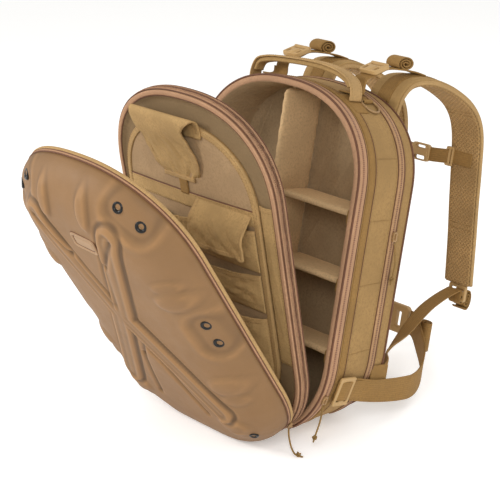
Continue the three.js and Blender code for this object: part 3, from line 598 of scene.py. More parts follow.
def repeat_tree(name: str, rounded: bool) -> Tree:
    """Return the tree that sets small blocks or rods along lines.

    Args:
        name: the tree's name.
        rounded: whether each one is a rod along the line, and not a block.

    Returns:
        The tree.
    """
    tree = Tree(name, {"Pitch": 0.004, "Length": 0.003, "Width": 0.001, "Height": 0.0008})
    line = tree.node("GeometryNodeMeshToCurve")
    steps = tree.node("GeometryNodeResampleCurve")
    for item in steps.inputs:
        if item.name == "Mode":
            item.default_value = "Length"
    if hasattr(steps, "mode"):
        steps.mode = "LENGTH"
    size = tree.node("ShaderNodeCombineXYZ")
    if rounded:
        body = tree.node("GeometryNodeMeshUVSphere")
        body.inputs["Segments"].default_value = 6
        body.inputs["Rings"].default_value = 4
        body.inputs["Radius"].default_value = 0.5
    else:
        body = tree.node("GeometryNodeMeshCube")
    shape = tree.node("GeometryNodeTransform")
    tangent = tree.node("GeometryNodeInputTangent")
    out = tree.node("GeometryNodeInputNamedAttribute", data_type="FLOAT_VECTOR")
    out.inputs["Name"].default_value = "out"
    turn = tree.node("FunctionNodeAxesToRotation", primary_axis="X", secondary_axis="Z")
    place = tree.node("GeometryNodeInstanceOnPoints")
    tree.wire(tree.start, "Line", line, "Mesh")
    tree.wire(line, "Curve", steps, "Curve")
    tree.wire(tree.start, "Pitch", steps, "Length")
    for label, axis in (("Length", "X"), ("Width", "Y"), ("Height", "Z")):
        tree.link(tree.start.outputs[label], size.inputs[axis])
    tree.wire(body, "Mesh", shape, "Geometry")
    tree.wire(size, "Vector", shape, "Scale")
    tree.wire(tangent, "Tangent", turn, "Primary Axis")
    tree.wire(out, "Attribute", turn, "Secondary Axis")
    tree.wire(steps, "Curve", place, "Points")
    tree.wire(shape, "Geometry", place, "Instance")
    tree.wire(turn, "Rotation", place, "Rotation")
    tree.close(place.outputs["Instances"], rounded)
    return tree


# Finishes


class Weave(Enum):
    """How a cloth is made, as far as its surface shows."""

    PLAIN = "plain"
    WEBBING = "webbing"
    BRUSHED = "brushed"
    SPACER = "spacer"
    BRAID = "braid"


class Paint(NodeBuilder):
    """A material under construction."""

    def __init__(self, name: str) -> None:
        """Start a material with a bare principled shader."""
        self.material = bpy.data.materials.new(name)
        self.material.use_nodes = True
        super().__init__(self.material.node_tree)
        self.shader = next(n for n in self.tree.nodes if n.type == "BSDF_PRINCIPLED")

    def fixed(self, **values: float) -> None:
        """Set uniform values on the shader's own sockets, with _ for a blank."""
        for key, value in values.items():
            self.shader.inputs[key.replace("_", " ")].default_value = value

    def place(self, kind: str = "Object") -> Socket:
        """Return the coordinates that a pattern follows."""
        return self.node("ShaderNodeTexCoord").outputs[kind]

    def waves(self, where: Socket, axis: str, pitch: float, profile: str = "SIN") -> Socket:
        """Return bands across an axis.

        Args:
            where: the coordinates.
            axis: X, Y, Z or DIAGONAL.
            pitch: distance between bands in millimetres.
            profile: SIN, SAW or TRI.

        Returns:
            A socket from 0 to 1.
        """
        made = self.node("ShaderNodeTexWave", bands_direction=axis, wave_profile=profile)
        made.inputs["Scale"].default_value = 0.31416 / (pitch * MM)
        made.inputs["Distortion"].default_value = 0.0
        self.link(where, made.inputs["Vector"])
        return made.outputs["Fac"]

    def speckle(self, where: Socket, size: float, detail: float = 3.0) -> Socket:
        """Return noise whose grains are about size millimetres."""
        made = self.node("ShaderNodeTexNoise")
        made.inputs["Scale"].default_value = 1 / (size * MM)
        made.inputs["Detail"].default_value = detail
        self.link(where, made.inputs["Vector"])
        return made.outputs["Fac"]

    def sum(self, a: Socket, b: Socket | float, operation: str = "ADD") -> Socket:
        """Return a and b joined by an operation."""
        made = self.node("ShaderNodeMath", operation=operation)
        self.link(a, made.inputs[0])
        if isinstance(b, (int, float)):
            made.inputs[1].default_value = b
        else:
            self.link(b, made.inputs[1])
        return made.outputs[0]

    def between(
        self, fac: Socket, low: tuple[float, ...] | Socket,
        high: tuple[float, ...] | Socket, start: float = 0.0, stop: float = 1.0,
    ) -> Socket:
        """Return a colour between two, by a socket that runs from start to stop."""
        span = self.node("ShaderNodeMapRange")
        span.inputs["From Min"].default_value = start
        span.inputs["From Max"].default_value = stop
        self.link(fac, span.inputs["Value"])
        mix = self.node("ShaderNodeMix", data_type="RGBA")
        self.wire(span, "Result", mix, "Factor")
        for value, target in ((low, mix.inputs[6]), (high, mix.inputs[7])):
            if isinstance(value, tuple):
                target.default_value = value
            else:
                self.link(value, target)
        return mix.outputs[2]

    def roughness(self, fac: Socket, low: float, high: float) -> None:
        """Let the roughness run from low to high with a socket."""
        span = self.node("ShaderNodeMapRange")
        span.inputs["To Min"].default_value = low
        span.inputs["To Max"].default_value = high
        self.link(fac, span.inputs["Value"])
        self.wire(span, "Result", self.shader, "Roughness")

    def relief(self, *layers: tuple[Socket, float, float]) -> None:
        """Add bump layers, each a height socket, its depth in millimetres and its strength."""
        before = None
        for height, depth, strength in layers:
            bump = self.node("ShaderNodeBump")
            bump.inputs["Distance"].default_value = depth * MM
            bump.inputs["Strength"].default_value = strength
            self.link(height, bump.inputs["Height"])
            if before is not None:
                self.link(before, bump.inputs["Normal"])
            before = bump.outputs["Normal"]
        self.link(before, self.shader.inputs["Normal"])

    def colour(self, socket: Socket) -> None:
        """Link the base colour."""
        self.link(socket, self.shader.inputs["Base Color"])


def shade(colour: tuple[float, ...], by: float) -> tuple[float, ...]:
    """Return a colour made lighter or darker."""
    return (*(min(c * by, 1.0) for c in colour[:3]), 1.0)


@dataclass(frozen=True)
class Cloth:
    """Woven, knitted or brushed cloth."""

    name: str
    colour: tuple[float, ...]
    weave: Weave = Weave.PLAIN
    pitch: float = 1.1
    bump: float = 0.6
    rough: float = 0.85
    sheen: float = 0.25
    fade: float = 0.16
    own_map: bool = True

    def build(self) -> Material:
        """Return the material."""
        paint = Paint(self.name)
        body = paint.place()
        where = paint.place("UV") if self.own_map else body
        grain = paint.speckle(body, 3.2, 4.0)
        broad = paint.speckle(body, 45.0, 3.0)
        creases = paint.speckle(body, 22.0, 2.0)
        if self.weave is Weave.PLAIN:
            threads = paint.sum(
                paint.waves(where, "X", self.pitch), paint.waves(where, "Y", self.pitch), "MULTIPLY")
        elif self.weave is Weave.WEBBING:
            ribs = paint.waves(where, "Y", self.pitch)
            threads = paint.sum(paint.waves(where, "X", self.pitch * 1.9), ribs, "MULTIPLY")
        elif self.weave is Weave.SPACER:
            flipped = paint.node("ShaderNodeMapping")
            flipped.inputs["Scale"].default_value = (-1.0, 1.0, 1.0)
            paint.link(where, flipped.inputs["Vector"])
            rising = paint.waves(where, "DIAGONAL", self.pitch)
            threads = paint.sum(
                rising, paint.waves(flipped.outputs["Vector"], "DIAGONAL", self.pitch), "MAXIMUM")
            threads = paint.sum(paint.sum(threads, 1.6, "MULTIPLY"), -0.75)
        elif self.weave is Weave.BRAID:
            threads = paint.waves(where, "DIAGONAL", self.pitch)
        else:
            threads = paint.speckle(body, 0.9, 4.0)
        dark, light = shade(self.colour, 1 - self.fade), shade(self.colour, 1 + self.fade)
        tint = paint.between(broad, dark, light, 0.3, 0.7)
        soiled = paint.between(grain, shade(self.colour, 0.76), tint, 0.3, 0.56)
        paint.colour(paint.between(threads, shade(self.colour, 0.72), soiled, -0.35, 0.65))
        paint.roughness(grain, self.rough - 0.08, min(self.rough + 0.1, 1.0))
        paint.relief((creases, 3.0, 0.45), (threads, self.bump * 0.5, 0.55), (grain, 0.3, 0.25))
        paint.fixed(Sheen_Weight=self.sheen, Sheen_Roughness=0.5, Specular_IOR_Level=0.25)
        paint.shader.inputs["Sheen Tint"].default_value = shade(self.colour, 1.5)
        return paint.material


@dataclass(frozen=True)
class Moulded:
    """Moulded foam or plastic with a fine matte skin."""

    name: str
    colour: tuple[float, ...]
    rough: float = 0.6
    grain: float = 0.7
    bump: float = 0.12
    # Whether the grooves get painted shade and the ridges a painted highlight mixed with wear.
    shade_and_wear: bool = False

    def build(self) -> Material:
        """Return the material."""
        paint = Paint(self.name)
        body = paint.place()
        fine, broad = paint.speckle(body, self.grain, 3.0), paint.speckle(body, 60.0, 2.0)
        scuffs = paint.speckle(body, 14.0, 6.0)
        tint = paint.between(broad, shade(self.colour, 0.93), shade(self.colour, 1.07), 0.3, 0.7)
        tint = paint.between(fine, shade(self.colour, 0.88), tint, 0.2, 0.6)
        # Painted shade darkens the grooves by the hollow attribute. A painted highlight, broken up by scuffs
        # as partly real wear, lightens the ridges.
        if self.shade_and_wear:
            height = paint.node("ShaderNodeAttribute", attribute_name="hollow").outputs["Fac"]
            tint = paint.between(height, tint, shade(self.colour, 0.5), 0.08, 1.5)
            ridge_highlight_and_wear = paint.sum(height, scuffs, "MULTIPLY")
            tint = paint.between(ridge_highlight_and_wear, shade(self.colour, 1.28), tint, -0.45, -0.03)
        paint.colour(tint)
        paint.roughness(scuffs, self.rough - 0.07, self.rough + 0.1)
        paint.relief((broad, 4.0, 0.2), (scuffs, 0.6, 0.2), (fine, self.bump, 0.6))
        paint.fixed(Specular_IOR_Level=0.35)
        return paint.material


@dataclass(frozen=True)
class Enamelled:
    """Painted or blackened metal."""

    name: str
    colour: tuple[float, ...]
    metallic: float = 0.6
    rough: float = 0.38

    def build(self) -> Material:
        """Return the material."""
        paint = Paint(self.name)
        body = paint.place()
        fine, chips = paint.speckle(body, 1.2, 4.0), paint.speckle(body, 5.0, 5.0)
        paint.colour(paint.between(chips, self.colour, shade(self.colour, 1.7), 0.55, 0.8))
        paint.roughness(fine, self.rough - 0.1, self.rough + 0.15)
        paint.relief((fine, 0.05, 0.4))
        paint.fixed(Metallic=self.metallic)
        return paint.material


class Finishes:
    """Every material of the bag, each made once."""

    def __init__(self) -> None:
        """Make the materials."""
        # The shell's finish paints shade into its grooves and a highlight, mixed with wear, onto its ridges.
        self.shell = Moulded("moulded_shell", tone(127, 94, 58), shade_and_wear=True).build()
        self.plate = Moulded("bare_plate", tone(150, 118, 84), 0.5).build()
        self.field = Cloth("organizer_field", tone(170, 140, 104), bump=0.4, pitch=0.9, sheen=0.3).build()
        self.rim = Cloth("organizer_rim", tone(136, 112, 80), bump=0.4, sheen=0.3).build()
        self.fabric = Cloth("body_fabric", tone(160, 127, 80), bump=0.7, pitch=1.2).build()
        self.pocket = Cloth("pocket_cloth", tone(182, 148, 98), bump=0.8, pitch=1.0, fade=0.24).build()
        self.webbing = Cloth("tan_webbing", tone(147, 112, 62), Weave.WEBBING, 1.6, 1.0, 0.8).build()
        self.edge = Cloth("edge_binding", tone(176, 142, 94), Weave.WEBBING, 1.4, 0.7, 0.8).build()
        self.lining = Cloth(
            "loop_lining", tone(170, 144, 110), Weave.BRUSHED, 1.0, 0.5, 0.95, 0.5, 0.12).build()
        self.loop = Cloth("loop_patch", tone(122, 98, 62), Weave.BRUSHED, 1.0, 1.2, 0.95, 0.5, 0.3).build()
        self.pad = Cloth("shelf_cover", tone(204, 170, 126), Weave.BRUSHED, 1.0, 0.4, 0.9, 0.45, 0.1).build()
        self.tape = Cloth("zip_tape", tone(178, 137, 104), Weave.WEBBING, 1.0, 0.4, 0.75).build()
        self.rear_tape = Cloth("rear_zip_tape", tone(174, 136, 98), Weave.WEBBING, 1.0, 0.4, 0.75).build()
        self.piping = Cloth(
            "dark_piping", tone(104, 68, 48), Weave.BRAID, 1.4, 0.4, 0.6, 0.1, own_map=False).build()
        self.mesh = Cloth("spacer_mesh", tone(164, 130, 84), Weave.SPACER, 3.4, 2.6, 0.9, fade=0.2).build()
        self.back = Cloth(
            "back_mesh", tone(164, 130, 84), Weave.SPACER, 3.4, 2.6, 0.9, fade=0.2, own_map=False).build()
        self.strap = Cloth("strap_cover", tone(170, 136, 86), bump=0.7, pitch=1.2).build()
        self.thread = Cloth("stitches", tone(150, 118, 72), Weave.BRAID, 0.8, 0.3, 0.7, own_map=False).build()
        self.cord = Cloth("pull_cord", tone(142, 112, 66), Weave.BRAID, 1.6, 0.8, 0.8, own_map=False).build()
        self.plastic = Moulded("buckle_plastic", tone(178, 144, 94), 0.48, 0.5, 0.06).build()
        self.black = Enamelled("black_eyelet", tone(24, 22, 20), 0.5, 0.32).build()
        self.pale = Moulded("eyelet_core", tone(150, 142, 128), 0.5, 0.5, 0.05).build()
        self.metal = Enamelled("slider_metal", tone(150, 118, 78), 0.3, 0.4).build()
        self.teeth = Enamelled("zip_teeth", tone(112, 74, 54), 0.0, 0.45).build()


STITCH = {"Pitch": 4.2 * MM, "Length": 3.0 * MM, "Width": 0.75 * MM, "Height": 0.6 * MM}


class Bench:
    """What every sub-assembly works with: the finishes, the trees and the way to hand a piece in."""

    def __init__(self) -> None:
        """Make the finishes and the trees."""
        self.finish = Finishes()
        self.piping = piping_tree()
        self.blocks = repeat_tree("Blocks along a line", False)
        self.rods = repeat_tree("Rods along a line", True)
        self.count = 0

    def hand_in(
        self, thing: Piece, finish: Material | None, slot: str, *nodes: str,
    ) -> Piece:
        """Give a piece its finish, let it ride and hide the solids that it replaces.

        Args:
            thing: the piece.
            finish: its material, or None where it has its own.
            slot: the record's material slot; not used.
            nodes: the solids that it replaces.

        Returns:
            The piece.
        """
        if finish is not None:
            thing.data.materials.clear()
            thing.data.materials.append(finish)
        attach(thing, "root")
        if nodes:
            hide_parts(*nodes)
        self.count += 1
        LOG.info("%s: %d faces", thing.name, len(thing.data.polygons))
        return thing

    def hand_pair(self, thing: Piece, finish: Material, slot: str, *nodes: str) -> None:
        """Hand in a right piece and its mirrored twin."""
        name = thing.name
        twin = mirrored(thing, name + "_left")
        thing.name = thing.data.name = name + "_right"
        self.hand_in(thing, finish, slot, *(f"{n}_right" for n in nodes))
        self.hand_in(twin, finish, slot, *(f"{n}_left" for n in nodes))

    def pipe(
        self, name: str, lines: Sequence[Array], radius: float, finish: Material, slot: str,
        ring: bool = False,
    ) -> Piece:
        """Sweep piping of a radius in millimetres along lines and hand it in."""
        thing = self.piping.grow(name, lines, finish, ring=ring, Radius=radius * MM)
        return self.hand_in(thing, None, slot)

    def stitch(self, name: str, lines: Sequence[Array], outs: Sequence[Array], ring: bool = False) -> Piece:
        """Set stitches along lines, half sunk in the cloth, and hand them in."""
        return self.hand_in(
            self.rods.grow(name, lines, self.finish.thread, outs, ring, **STITCH), None, "webbing")

    def teeth(
        self, name: str, rows: Sequence[Array], outs: Sequence[Array], finish: Material, width: float,
    ) -> None:
        """Set zip teeth of a width in millimetres along rows and hand them in."""
        made = self.blocks.grow(
            name, rows, finish, outs, Pitch=2.6 * MM, Length=1.3 * MM, Width=width * MM, Height=0.8 * MM)
        self.hand_in(made, None, "zip")


# Sub-assemblies


@dataclass
class Viewpoint:
    """The camera, the floor and the soft studio light."""

    place: Point = (1.5394, -1.3955, 0.9435)
    back: Point = (0.70269, -0.63625, 0.31846)
    right: Point = (0.66857, 0.74358, 0.01038)
    lens: float = 109.9
    shift: Pair = (-0.022, 0.0009)

    def aim(self) -> None:
        """Make the camera."""
        camera = bpy.data.cameras.new("camera")
        camera.lens, camera.sensor_width = self.lens, 36.0
        camera.shift_x, camera.shift_y = self.shift
        camera.clip_start, camera.clip_end = 0.05, 50.0
        holder = bpy.data.objects.new("camera", camera)
        back = Vector(self.back).normalized()
        right = (Vector(self.right) - Vector(self.right).dot(back) * back).normalized()
        up = back.cross(right)
        turn = Matrix((right, up, back)).transposed().to_4x4()
        holder.matrix_world = Matrix.Translation(Vector(self.place)) @ turn
        bpy.context.scene.collection.objects.link(holder)
        bpy.context.scene.camera = holder

    def lamp(self, name: str, place: Point, size: float, power: float) -> None:
        """Hang a soft square lamp that faces the bag."""
        light = bpy.data.lights.new(name, "AREA")
        light.energy, light.size = power, size
        holder = bpy.data.objects.new(name, light)
        holder.location = place
        holder.rotation_euler = (Vector((0, 0, 0.25)) - Vector(place)).to_track_quat("-Z", "Y").to_euler()
        bpy.context.scene.collection.objects.link(holder)

    def light(self) -> None:
        """Make the light and the floor."""
        scene = bpy.context.scene
        scene.view_settings.view_transform = "Standard"
        scene.view_settings.look = "None"
        world = bpy.data.worlds.new("studio")
        scene.world = world
        world.use_nodes = True
        backdrop = world.node_tree.nodes["Background"]
        backdrop.inputs["Color"].default_value = (1.0, 0.99, 0.97, 1.0)
        backdrop.inputs["Strength"].default_value = 0.7
        self.lamp("key", (-1.25, -1.75, 1.15), 0.55, 26.0)
        self.lamp("front", (1.3, -1.4, 1.35), 0.8, 17.5)
        self.lamp("side", (2.2, 0.5, 1.2), 1.4, 7.0)
        self.lamp("rim", (0.3, 2.0, 1.8), 1.5, 12.0)
        mesh = bpy.data.meshes.new("floor")
        mesh.from_pydata([(-8, -8, 0), (8, -8, 0), (8, 8, 0), (-8, 8, 0)], [], [(0, 1, 2, 3)])
        floor = add_object("floor", mesh)
        paint = Paint("pale_floor")
        clouds = paint.speckle(paint.place(), 400.0)
        paint.colour(paint.between(clouds, (0.93, 0.93, 0.925, 1), (0.95, 0.95, 0.945, 1)))
        paint.fixed(Roughness=0.8, Specular_IOR_Level=0.1, Emission_Strength=0.28)
        paint.shader.inputs["Emission Color"].default_value = (1.0, 1.0, 1.0, 1.0)
        floor.data.materials.append(paint.material)


@dataclass
class ZipPulls:
    """The zip sliders and the knotted cords on them, laid where the solids are."""

    radius: float = 1.3
    main: tuple[Point, ...] = (
        (158.6, 8.4, 67.4), (161.8, 6, 56), (163, 3, 42), (161, 1.5, 27), (159, 1, 14))
    rear: tuple[Point, ...] = (
        (170.5, 88, 301), (173, 89, 291), (175, 91, 275), (174, 92, 258), (171.5, 93, 240))
    shell: tuple[Point, ...] = (
        (131.6, -23.2, 28.2), (134, -24.2, 21), (139, -25, 12), (145, -25.4, 4),
        (152, -25, -1.8), (158, -23.6, -2.9), (165, -21, -2.4))

    def knot(self, name: str, centre: Array, along: Array) -> Piece:
        """Return a stopper knot with two short ends, round a point of the cord.

        Args:
            name: the object's name.
            centre: the knot's middle in metres.
            along: the cord's direction there.

        Returns:
            The knot.
        """
        side = np.cross(along, [0.3, 0.9, 0.2])
        side /= norm(side)
        other = np.cross(along, side)
        t = full_turn(60)[:, None]
        reach = (1.15 + 0.75 * np.cos(3 * t)) * self.radius * MM * 1.15
        loop = centre + side * reach * np.cos(2 * t) + other * reach * np.sin(2 * t) + (
            along * np.sin(3 * t) * self.radius * MM * 1.7)
        run = np.roll(loop, -1, 0) - np.roll(loop, 1, 0)
        run /= norm(run, axis=1)[:, None]
        out = loop - centre
        out -= (out * run).sum(1)[:, None] * run
        out /= norm(out, axis=1)[:, None]
        third = np.cross(run, out)
        a = full_turn(10)[None, :, None]
        rings = loop[:, None] + self.radius * MM * 0.95 * (
            np.cos(a) * out[:, None] + np.sin(a) * third[:, None])
        rings[..., 2] -= min(rings[..., 2].min(), 0.0)
        return skin(name, rings, joined=True)

    def build(self, bench: Bench) -> None:
        """Make each cord with its knot."""
        for name, route in (("main", self.main), ("rear", self.rear), ("shell", self.shell)):
            line = curve_through(bag(route), 36)
            turn = tangents(line)
            side = np.cross(turn, [0.2, 1.0, 0.1])
            side /= norm(side, axis=1)[:, None]
            other = np.cross(turn, side)
            a = full_turn(12)[None, :, None]
            ring = np.cos(a) * side[:, None] + np.sin(a) * other[:, None]
            taper = np.ones(len(line))
            taper[0] = taper[-1] = 0.7
            tube = skin(f"{name}_cord", line[:, None] + ring * (taper * self.radius * MM)[:, None, None])
            bench.hand_in(tube, bench.finish.cord, "webbing", f"{name}_pull_cord")
            knot = self.knot(f"{name}_knot", line[-6], turn[-6])
            bench.hand_in(knot, bench.finish.cord, "webbing")
            length = float(norm(np.diff(line, axis=0), axis=1).sum())


@dataclass
class ShellLeaf:
    """The moulded shell with its cross of ribs, eyelets, bare plate and bound rim."""

    depth: float = 52.0
    crown: float = 8.0
    wall: float = 4.0
    edge_round: float = 78.0
    toe_round: float = 52.0
    rib_half: float = 17.0
    rib_height: float = 4.5
    floor_gap: float = 0.4
    hinge_lift: float = 7.4
    hinge_reach: float = 40.0
    crown_reach: float = 165.0
    pad_depth: float = 5.0
    groove_depth: float = 3.6
    crossing: Pair = (0.03, 0.54)
    rib_top: Pair = (0.46, 0.86)
    rib_foot: Pair = (0.58, 0.22)
    toe_eyelet: Pair = (0.75, 0.125)
    pads: tuple[tuple[Pair, Pair], ...] = (
        ((0.59, 0.935), (0.765, 0.888)), ((0.885, 0.557), (0.9, 0.49)))
    humps: tuple[tuple[float, float, float, float, float], ...] = (
        (0.8, 0.66, 0.17, 0.034, 6.5), (0.8, 0.335, 0.17, 0.036, 6.0), (0.62, 0.165, 0.17, 0.034, 6.0),
        (0.25, 0.925, 0.065, 0.055, 7.0), (0.8, 0.71, 0.14, 0.022, 3.0), (0.8, 0.28, 0.13, 0.022, 3.0),
        (0.66, 0.125, 0.13, 0.022, 2.4))
    grooves: tuple[tuple[Pair, Pair, float], ...] = (
        ((0.48, 0.85), (0.22, 0.745), 5.0), ((0.22, 0.745), (0.02, 0.585), 5.0),
        ((0.0, 0.42), (0.12, 0.36), 4.6), ((0.12, 0.36), (0.31, 0.17), 4.6))

    def spot(self, share: Pair) -> Pair:
        """Return leaf coordinates from shares of the half width and the height."""
        return share[0] * SHELL_OUTLINE.half_width, share[1] * SHELL_OUTLINE.height

    @staticmethod
    def away(u: Array, v: Array, a: Pair, b: Pair) -> Array:
        """Return the distance of points from a segment."""
        du, dv = b[0] - a[0], b[1] - a[1]
        t = np.clip(((u - a[0]) * du + (v - a[1]) * dv) / (du * du + dv * dv), 0, 1)
        return np.hypot(u - a[0] - t * du, v - a[1] - t * dv)

    def relief(self, u: Array, v: Array) -> Array:
        """Return what is moulded over the plain dome, in millimetres."""
        a = np.abs(u)
        crossing = self.spot(self.crossing)
        arms = [self.away(a, v, crossing, self.spot(end)) for end in (self.rib_top, self.rib_foot)]
        arm = np.minimum(*arms)
        h = self.rib_height * (1 - smooth(self.rib_half - 2.5, self.rib_half + 3.0, arm))
        h += 0.6 * np.exp(-(((arm - self.rib_half + 5.0) / 3.2) ** 2))
        h -= 0.5 * np.exp(-(((arm - self.rib_half + 11) / 3.0) ** 2))
        h -= 1.5 * np.exp(-(((arm - self.rib_half - 5) / 3.0) ** 2))
        for start, end in self.pads:
            gap = self.away(a, v, self.spot(start), self.spot(end))
            h -= self.pad_depth * (1 - smooth(14, 27, gap))
            h += 1.2 * np.exp(-(((gap - 29) / 6.0) ** 2))
        for mu, mv, ru, rv, high in self.humps:
            x, y = self.spot((mu, mv))
            rx, ry = self.spot((ru, rv))
            near = np.hypot((a - x) / rx, (v - y) / ry)
            h += high * (0.55 * np.exp(-(near**2)) + 0.45 * (1 - smooth(0.65, 1.2, near)))
        for start, end, wide in self.grooves:
            off = self.away(a, v, self.spot(start), self.spot(end))
            h -= self.groove_depth * np.exp(-((off / wide) ** 2))
        return h

    def hollow(self, u: Array, v: Array, reach: float = 5.0) -> Array:
        """Return how far the moulding lies below its surroundings, in millimetres."""
        around = sum(
            self.relief(u + reach * du, v + reach * dv) for du, dv in ((1, 0), (-1, 0), (0, 1), (0, -1)))
        return around / 4 - self.relief(u, v)

    def inward(self, u: Array, v: Array) -> Array:
        """Return the distance in from the rim."""
        rim = SHELL_OUTLINE.line(fine=6)
        nearest = np.full(np.shape(u), 1e9)
        for a, b in zip(rim, np.roll(rim, -1, 0)):
            nearest = np.minimum(nearest, self.away(u, v, tuple(a), tuple(b)))
        return nearest

    def taper(self, v: Array) -> Array:
        """Return how far the rim stands off at the hinge."""
        return self.hinge_lift * np.maximum(0, 1 - np.asarray(v) / self.hinge_reach)

    def height(self, u: Array, v: Array, relief: float = 1.0) -> Array:
        """Return the height of the moulding over the leaf, with its toe flat on the floor."""
        inward = self.inward(u, v)
        round_ = self.toe_round + (self.edge_round - self.toe_round) * smooth(50, 170, v)
        t = np.minimum(inward / round_, 1)
        dome = self.depth * np.sqrt(np.maximum(1 - (1 - t) ** 2, 0))
        crown = self.crown * (
            1 - (u / SHELL_OUTLINE.half_width) ** 2) * np.minimum(1, inward / self.crown_reach)
        raw = self.taper(v) + dome + crown + relief * self.relief(u, v) * smooth(4, 22, inward)
        lean_in = radians(SHELL.tilt) - LEAN
        foot = cos(LEAN) * SHELL.hinge_z - sin(LEAN) * SHELL.hinge_y
        limit = (foot - self.floor_gap + cos(lean_in) * v) / sin(lean_in)
        return (raw + limit - np.hypot(raw - limit, 3.0)) / 2

    def moulding(self, bench: Bench) -> None:
        """Make the shell, outside and inside, as one closed wall."""
        rim = SHELL_OUTLINE.line(fine=27)
        low, high = 0.3 * SHELL_OUTLINE.height, 0.7 * SHELL_OUTLINE.height
        spine = np.stack([np.zeros(len(rim)), np.clip(rim[:, 1], low, high)], -1)
        shares = np.concatenate([np.linspace(0.004, 0.06, 8), np.linspace(0.07, 1, 100)])
        outside, inside, marks = [], [], []
        for t in shares:
            p = rim + (spine - rim) * t
            h = self.height(p[:, 0], p[:, 1])
            outside.append(SHELL.place(p[:, 0], p[:, 1], h))
            marks.append(self.hollow(p[:, 0], p[:, 1]))
        for t in shares[6::5]:
            p = rim + (spine - rim) * t
            reach = np.maximum(norm(spine - p, axis=1), 1e-6)[:, None]
            q = p + (spine - p) / reach * self.wall * (1 - t)
            h = self.height(p[:, 0], p[:, 1], 0.8) - self.wall * smooth(0, 0.2, t)
            inside.append(SHELL.place(q[:, 0], q[:, 1], h))
        flat = [SHELL.place(line[:, 0], line[:, 1], self.taper(line[:, 1])) for line in (
            SHELL_OUTLINE.line(0, 27), SHELL_OUTLINE.line(self.wall, 27))]
        rings = outside[::-1] + flat + inside
        shell = skin("shell_moulding", rings, caps=False)
        # The hollow attribute drives the painted shade in the grooves and the painted highlight on the ridges
        # of the shell finish.
        values = np.concatenate([np.concatenate(marks[::-1]), np.zeros(len(rim) * (2 + len(inside)))])
        mark = shell.data.attributes.new("hollow", "FLOAT", "POINT")
        mark.data.foreach_set("value", values.astype(np.float32))
        face_out(shell.data, 2e-6)
        shell.data.materials.append(bench.finish.shell)
        shell.data.materials.append(bench.finish.lining)
        border = len(outside) + 1
        columns = len(rim)
        faces_outside = border * columns
        index = np.zeros(len(shell.data.polygons), np.int32)
        index[faces_outside:] = 1
        shell.data.polygons.foreach_set("material_index", index)
        bench.hand_in(shell, None, "shell", "front_shell")

    def frame_at(self, u: float, v: float) -> tuple[Array, Array, Array, Array]:
        """Return a place on the moulding with its across, up and out directions, in metres."""
        def at(du: float, dv: float) -> Array:
            """Return a place on the plain dome, a step away."""
            return SHELL.place(u + du, v + dv, self.height(np.array(u + du), np.array(v + dv), 0.0))
        across, up = at(6, 0) - at(-6, 0), at(0, 6) - at(0, -6)
        across /= norm(across)
        up /= norm(up)
        out = np.cross(across, up)
        out *= np.sign(out @ SHELL.normal())
        out /= norm(out)
        return SHELL.place(u, v, self.height(np.array(u), np.array(v))), across, np.cross(out, across), out

    def eyelets(self, bench: Bench) -> None:
        """Set the black eyelets in their pads, each with a pale core."""
        spots = [(share, f"grommet_{'low' if k else 'top'}_{n + 1}", 1.0) for k, pad in enumerate(self.pads)
                 for n, share in enumerate(pad)] + [(self.toe_eyelet, None, 0.85)]
        profile = np.array([
            (3.0, -3.4), (8.0, -3.4), (8.0, -0.1), (7.6, 0.8), (6.6, 1.4), (5.3, 1.3), (4.2, 0.5),
            (3.4, -0.5), (3.0, -1.5)])
        plug = ((3.0, -3.1), (3.1, -1.2), (2.5, -0.6), (0.5, -0.7))
        for share, node, size in spots:
            for side, word in ((1, "right"), (-1, "left")):
                u, v = self.spot(share)
                centre, across, up, out = self.frame_at(side * u, v)
                a = full_turn(28)
                wheel = np.cos(a)[:, None] * across + np.sin(a)[:, None] * up
                rings = [centre + (wheel * r * size + out * h) * MM for r, h in profile]
                label = node or "eyelet_toe"
                ring = skin(f"{label}_{word}_ring", rings, joined=True)
                bench.hand_in(ring, bench.finish.black, "grommet", *([f"{node}_{word}"] if node else []))
                rings = [centre + (wheel * r * size + out * h) * MM for r, h in plug]
                core = skin(f"{label}_{word}_core", rings)
                bench.hand_in(core, bench.finish.pale, "grommet")

    def plate(self, bench: Bench) -> None:
        """Set the bare plate with its raised border."""
        centre, across, up, out = self.frame_at(18.0, 0.815 * SHELL_OUTLINE.height)
        tilt = radians(-6)
        along = cos(tilt) * across + sin(tilt) * up
        over = np.cross(out, along)

        def ring(grow: float, lift: float) -> Array:
            """Return the plate's outline, grown and lifted."""
            t = full_turn(64)
            x = np.sign(np.cos(t)) * np.abs(np.cos(t)) ** 0.3 * (23 + grow)
            y = np.sign(np.sin(t)) * np.abs(np.sin(t)) ** 0.3 * (12 + grow)
            return centre + (x[:, None] * along + y[:, None] * over + lift * out) * MM
        profile = (
            (0.8, -2), (0.8, 1.0), (0.2, 2.0), (-1.0, 2.3), (-2.2, 2.0), (-2.8, 1.0), (-3.4, 0.6),
            (-4.2, 0.6), (-5.0, 1.2), (-9, 1.3))
        rings = [ring(*step) for step in profile]
        bench.hand_in(skin("bare_plate", rings), bench.finish.plate, "shell", "badge_plate")
        bench.pipe(
            "bare_plate_groove", [ring(1.2, 0.1), ring(-3.8, 0.7)], 0.55, bench.finish.piping, "shell",
            ring=True)

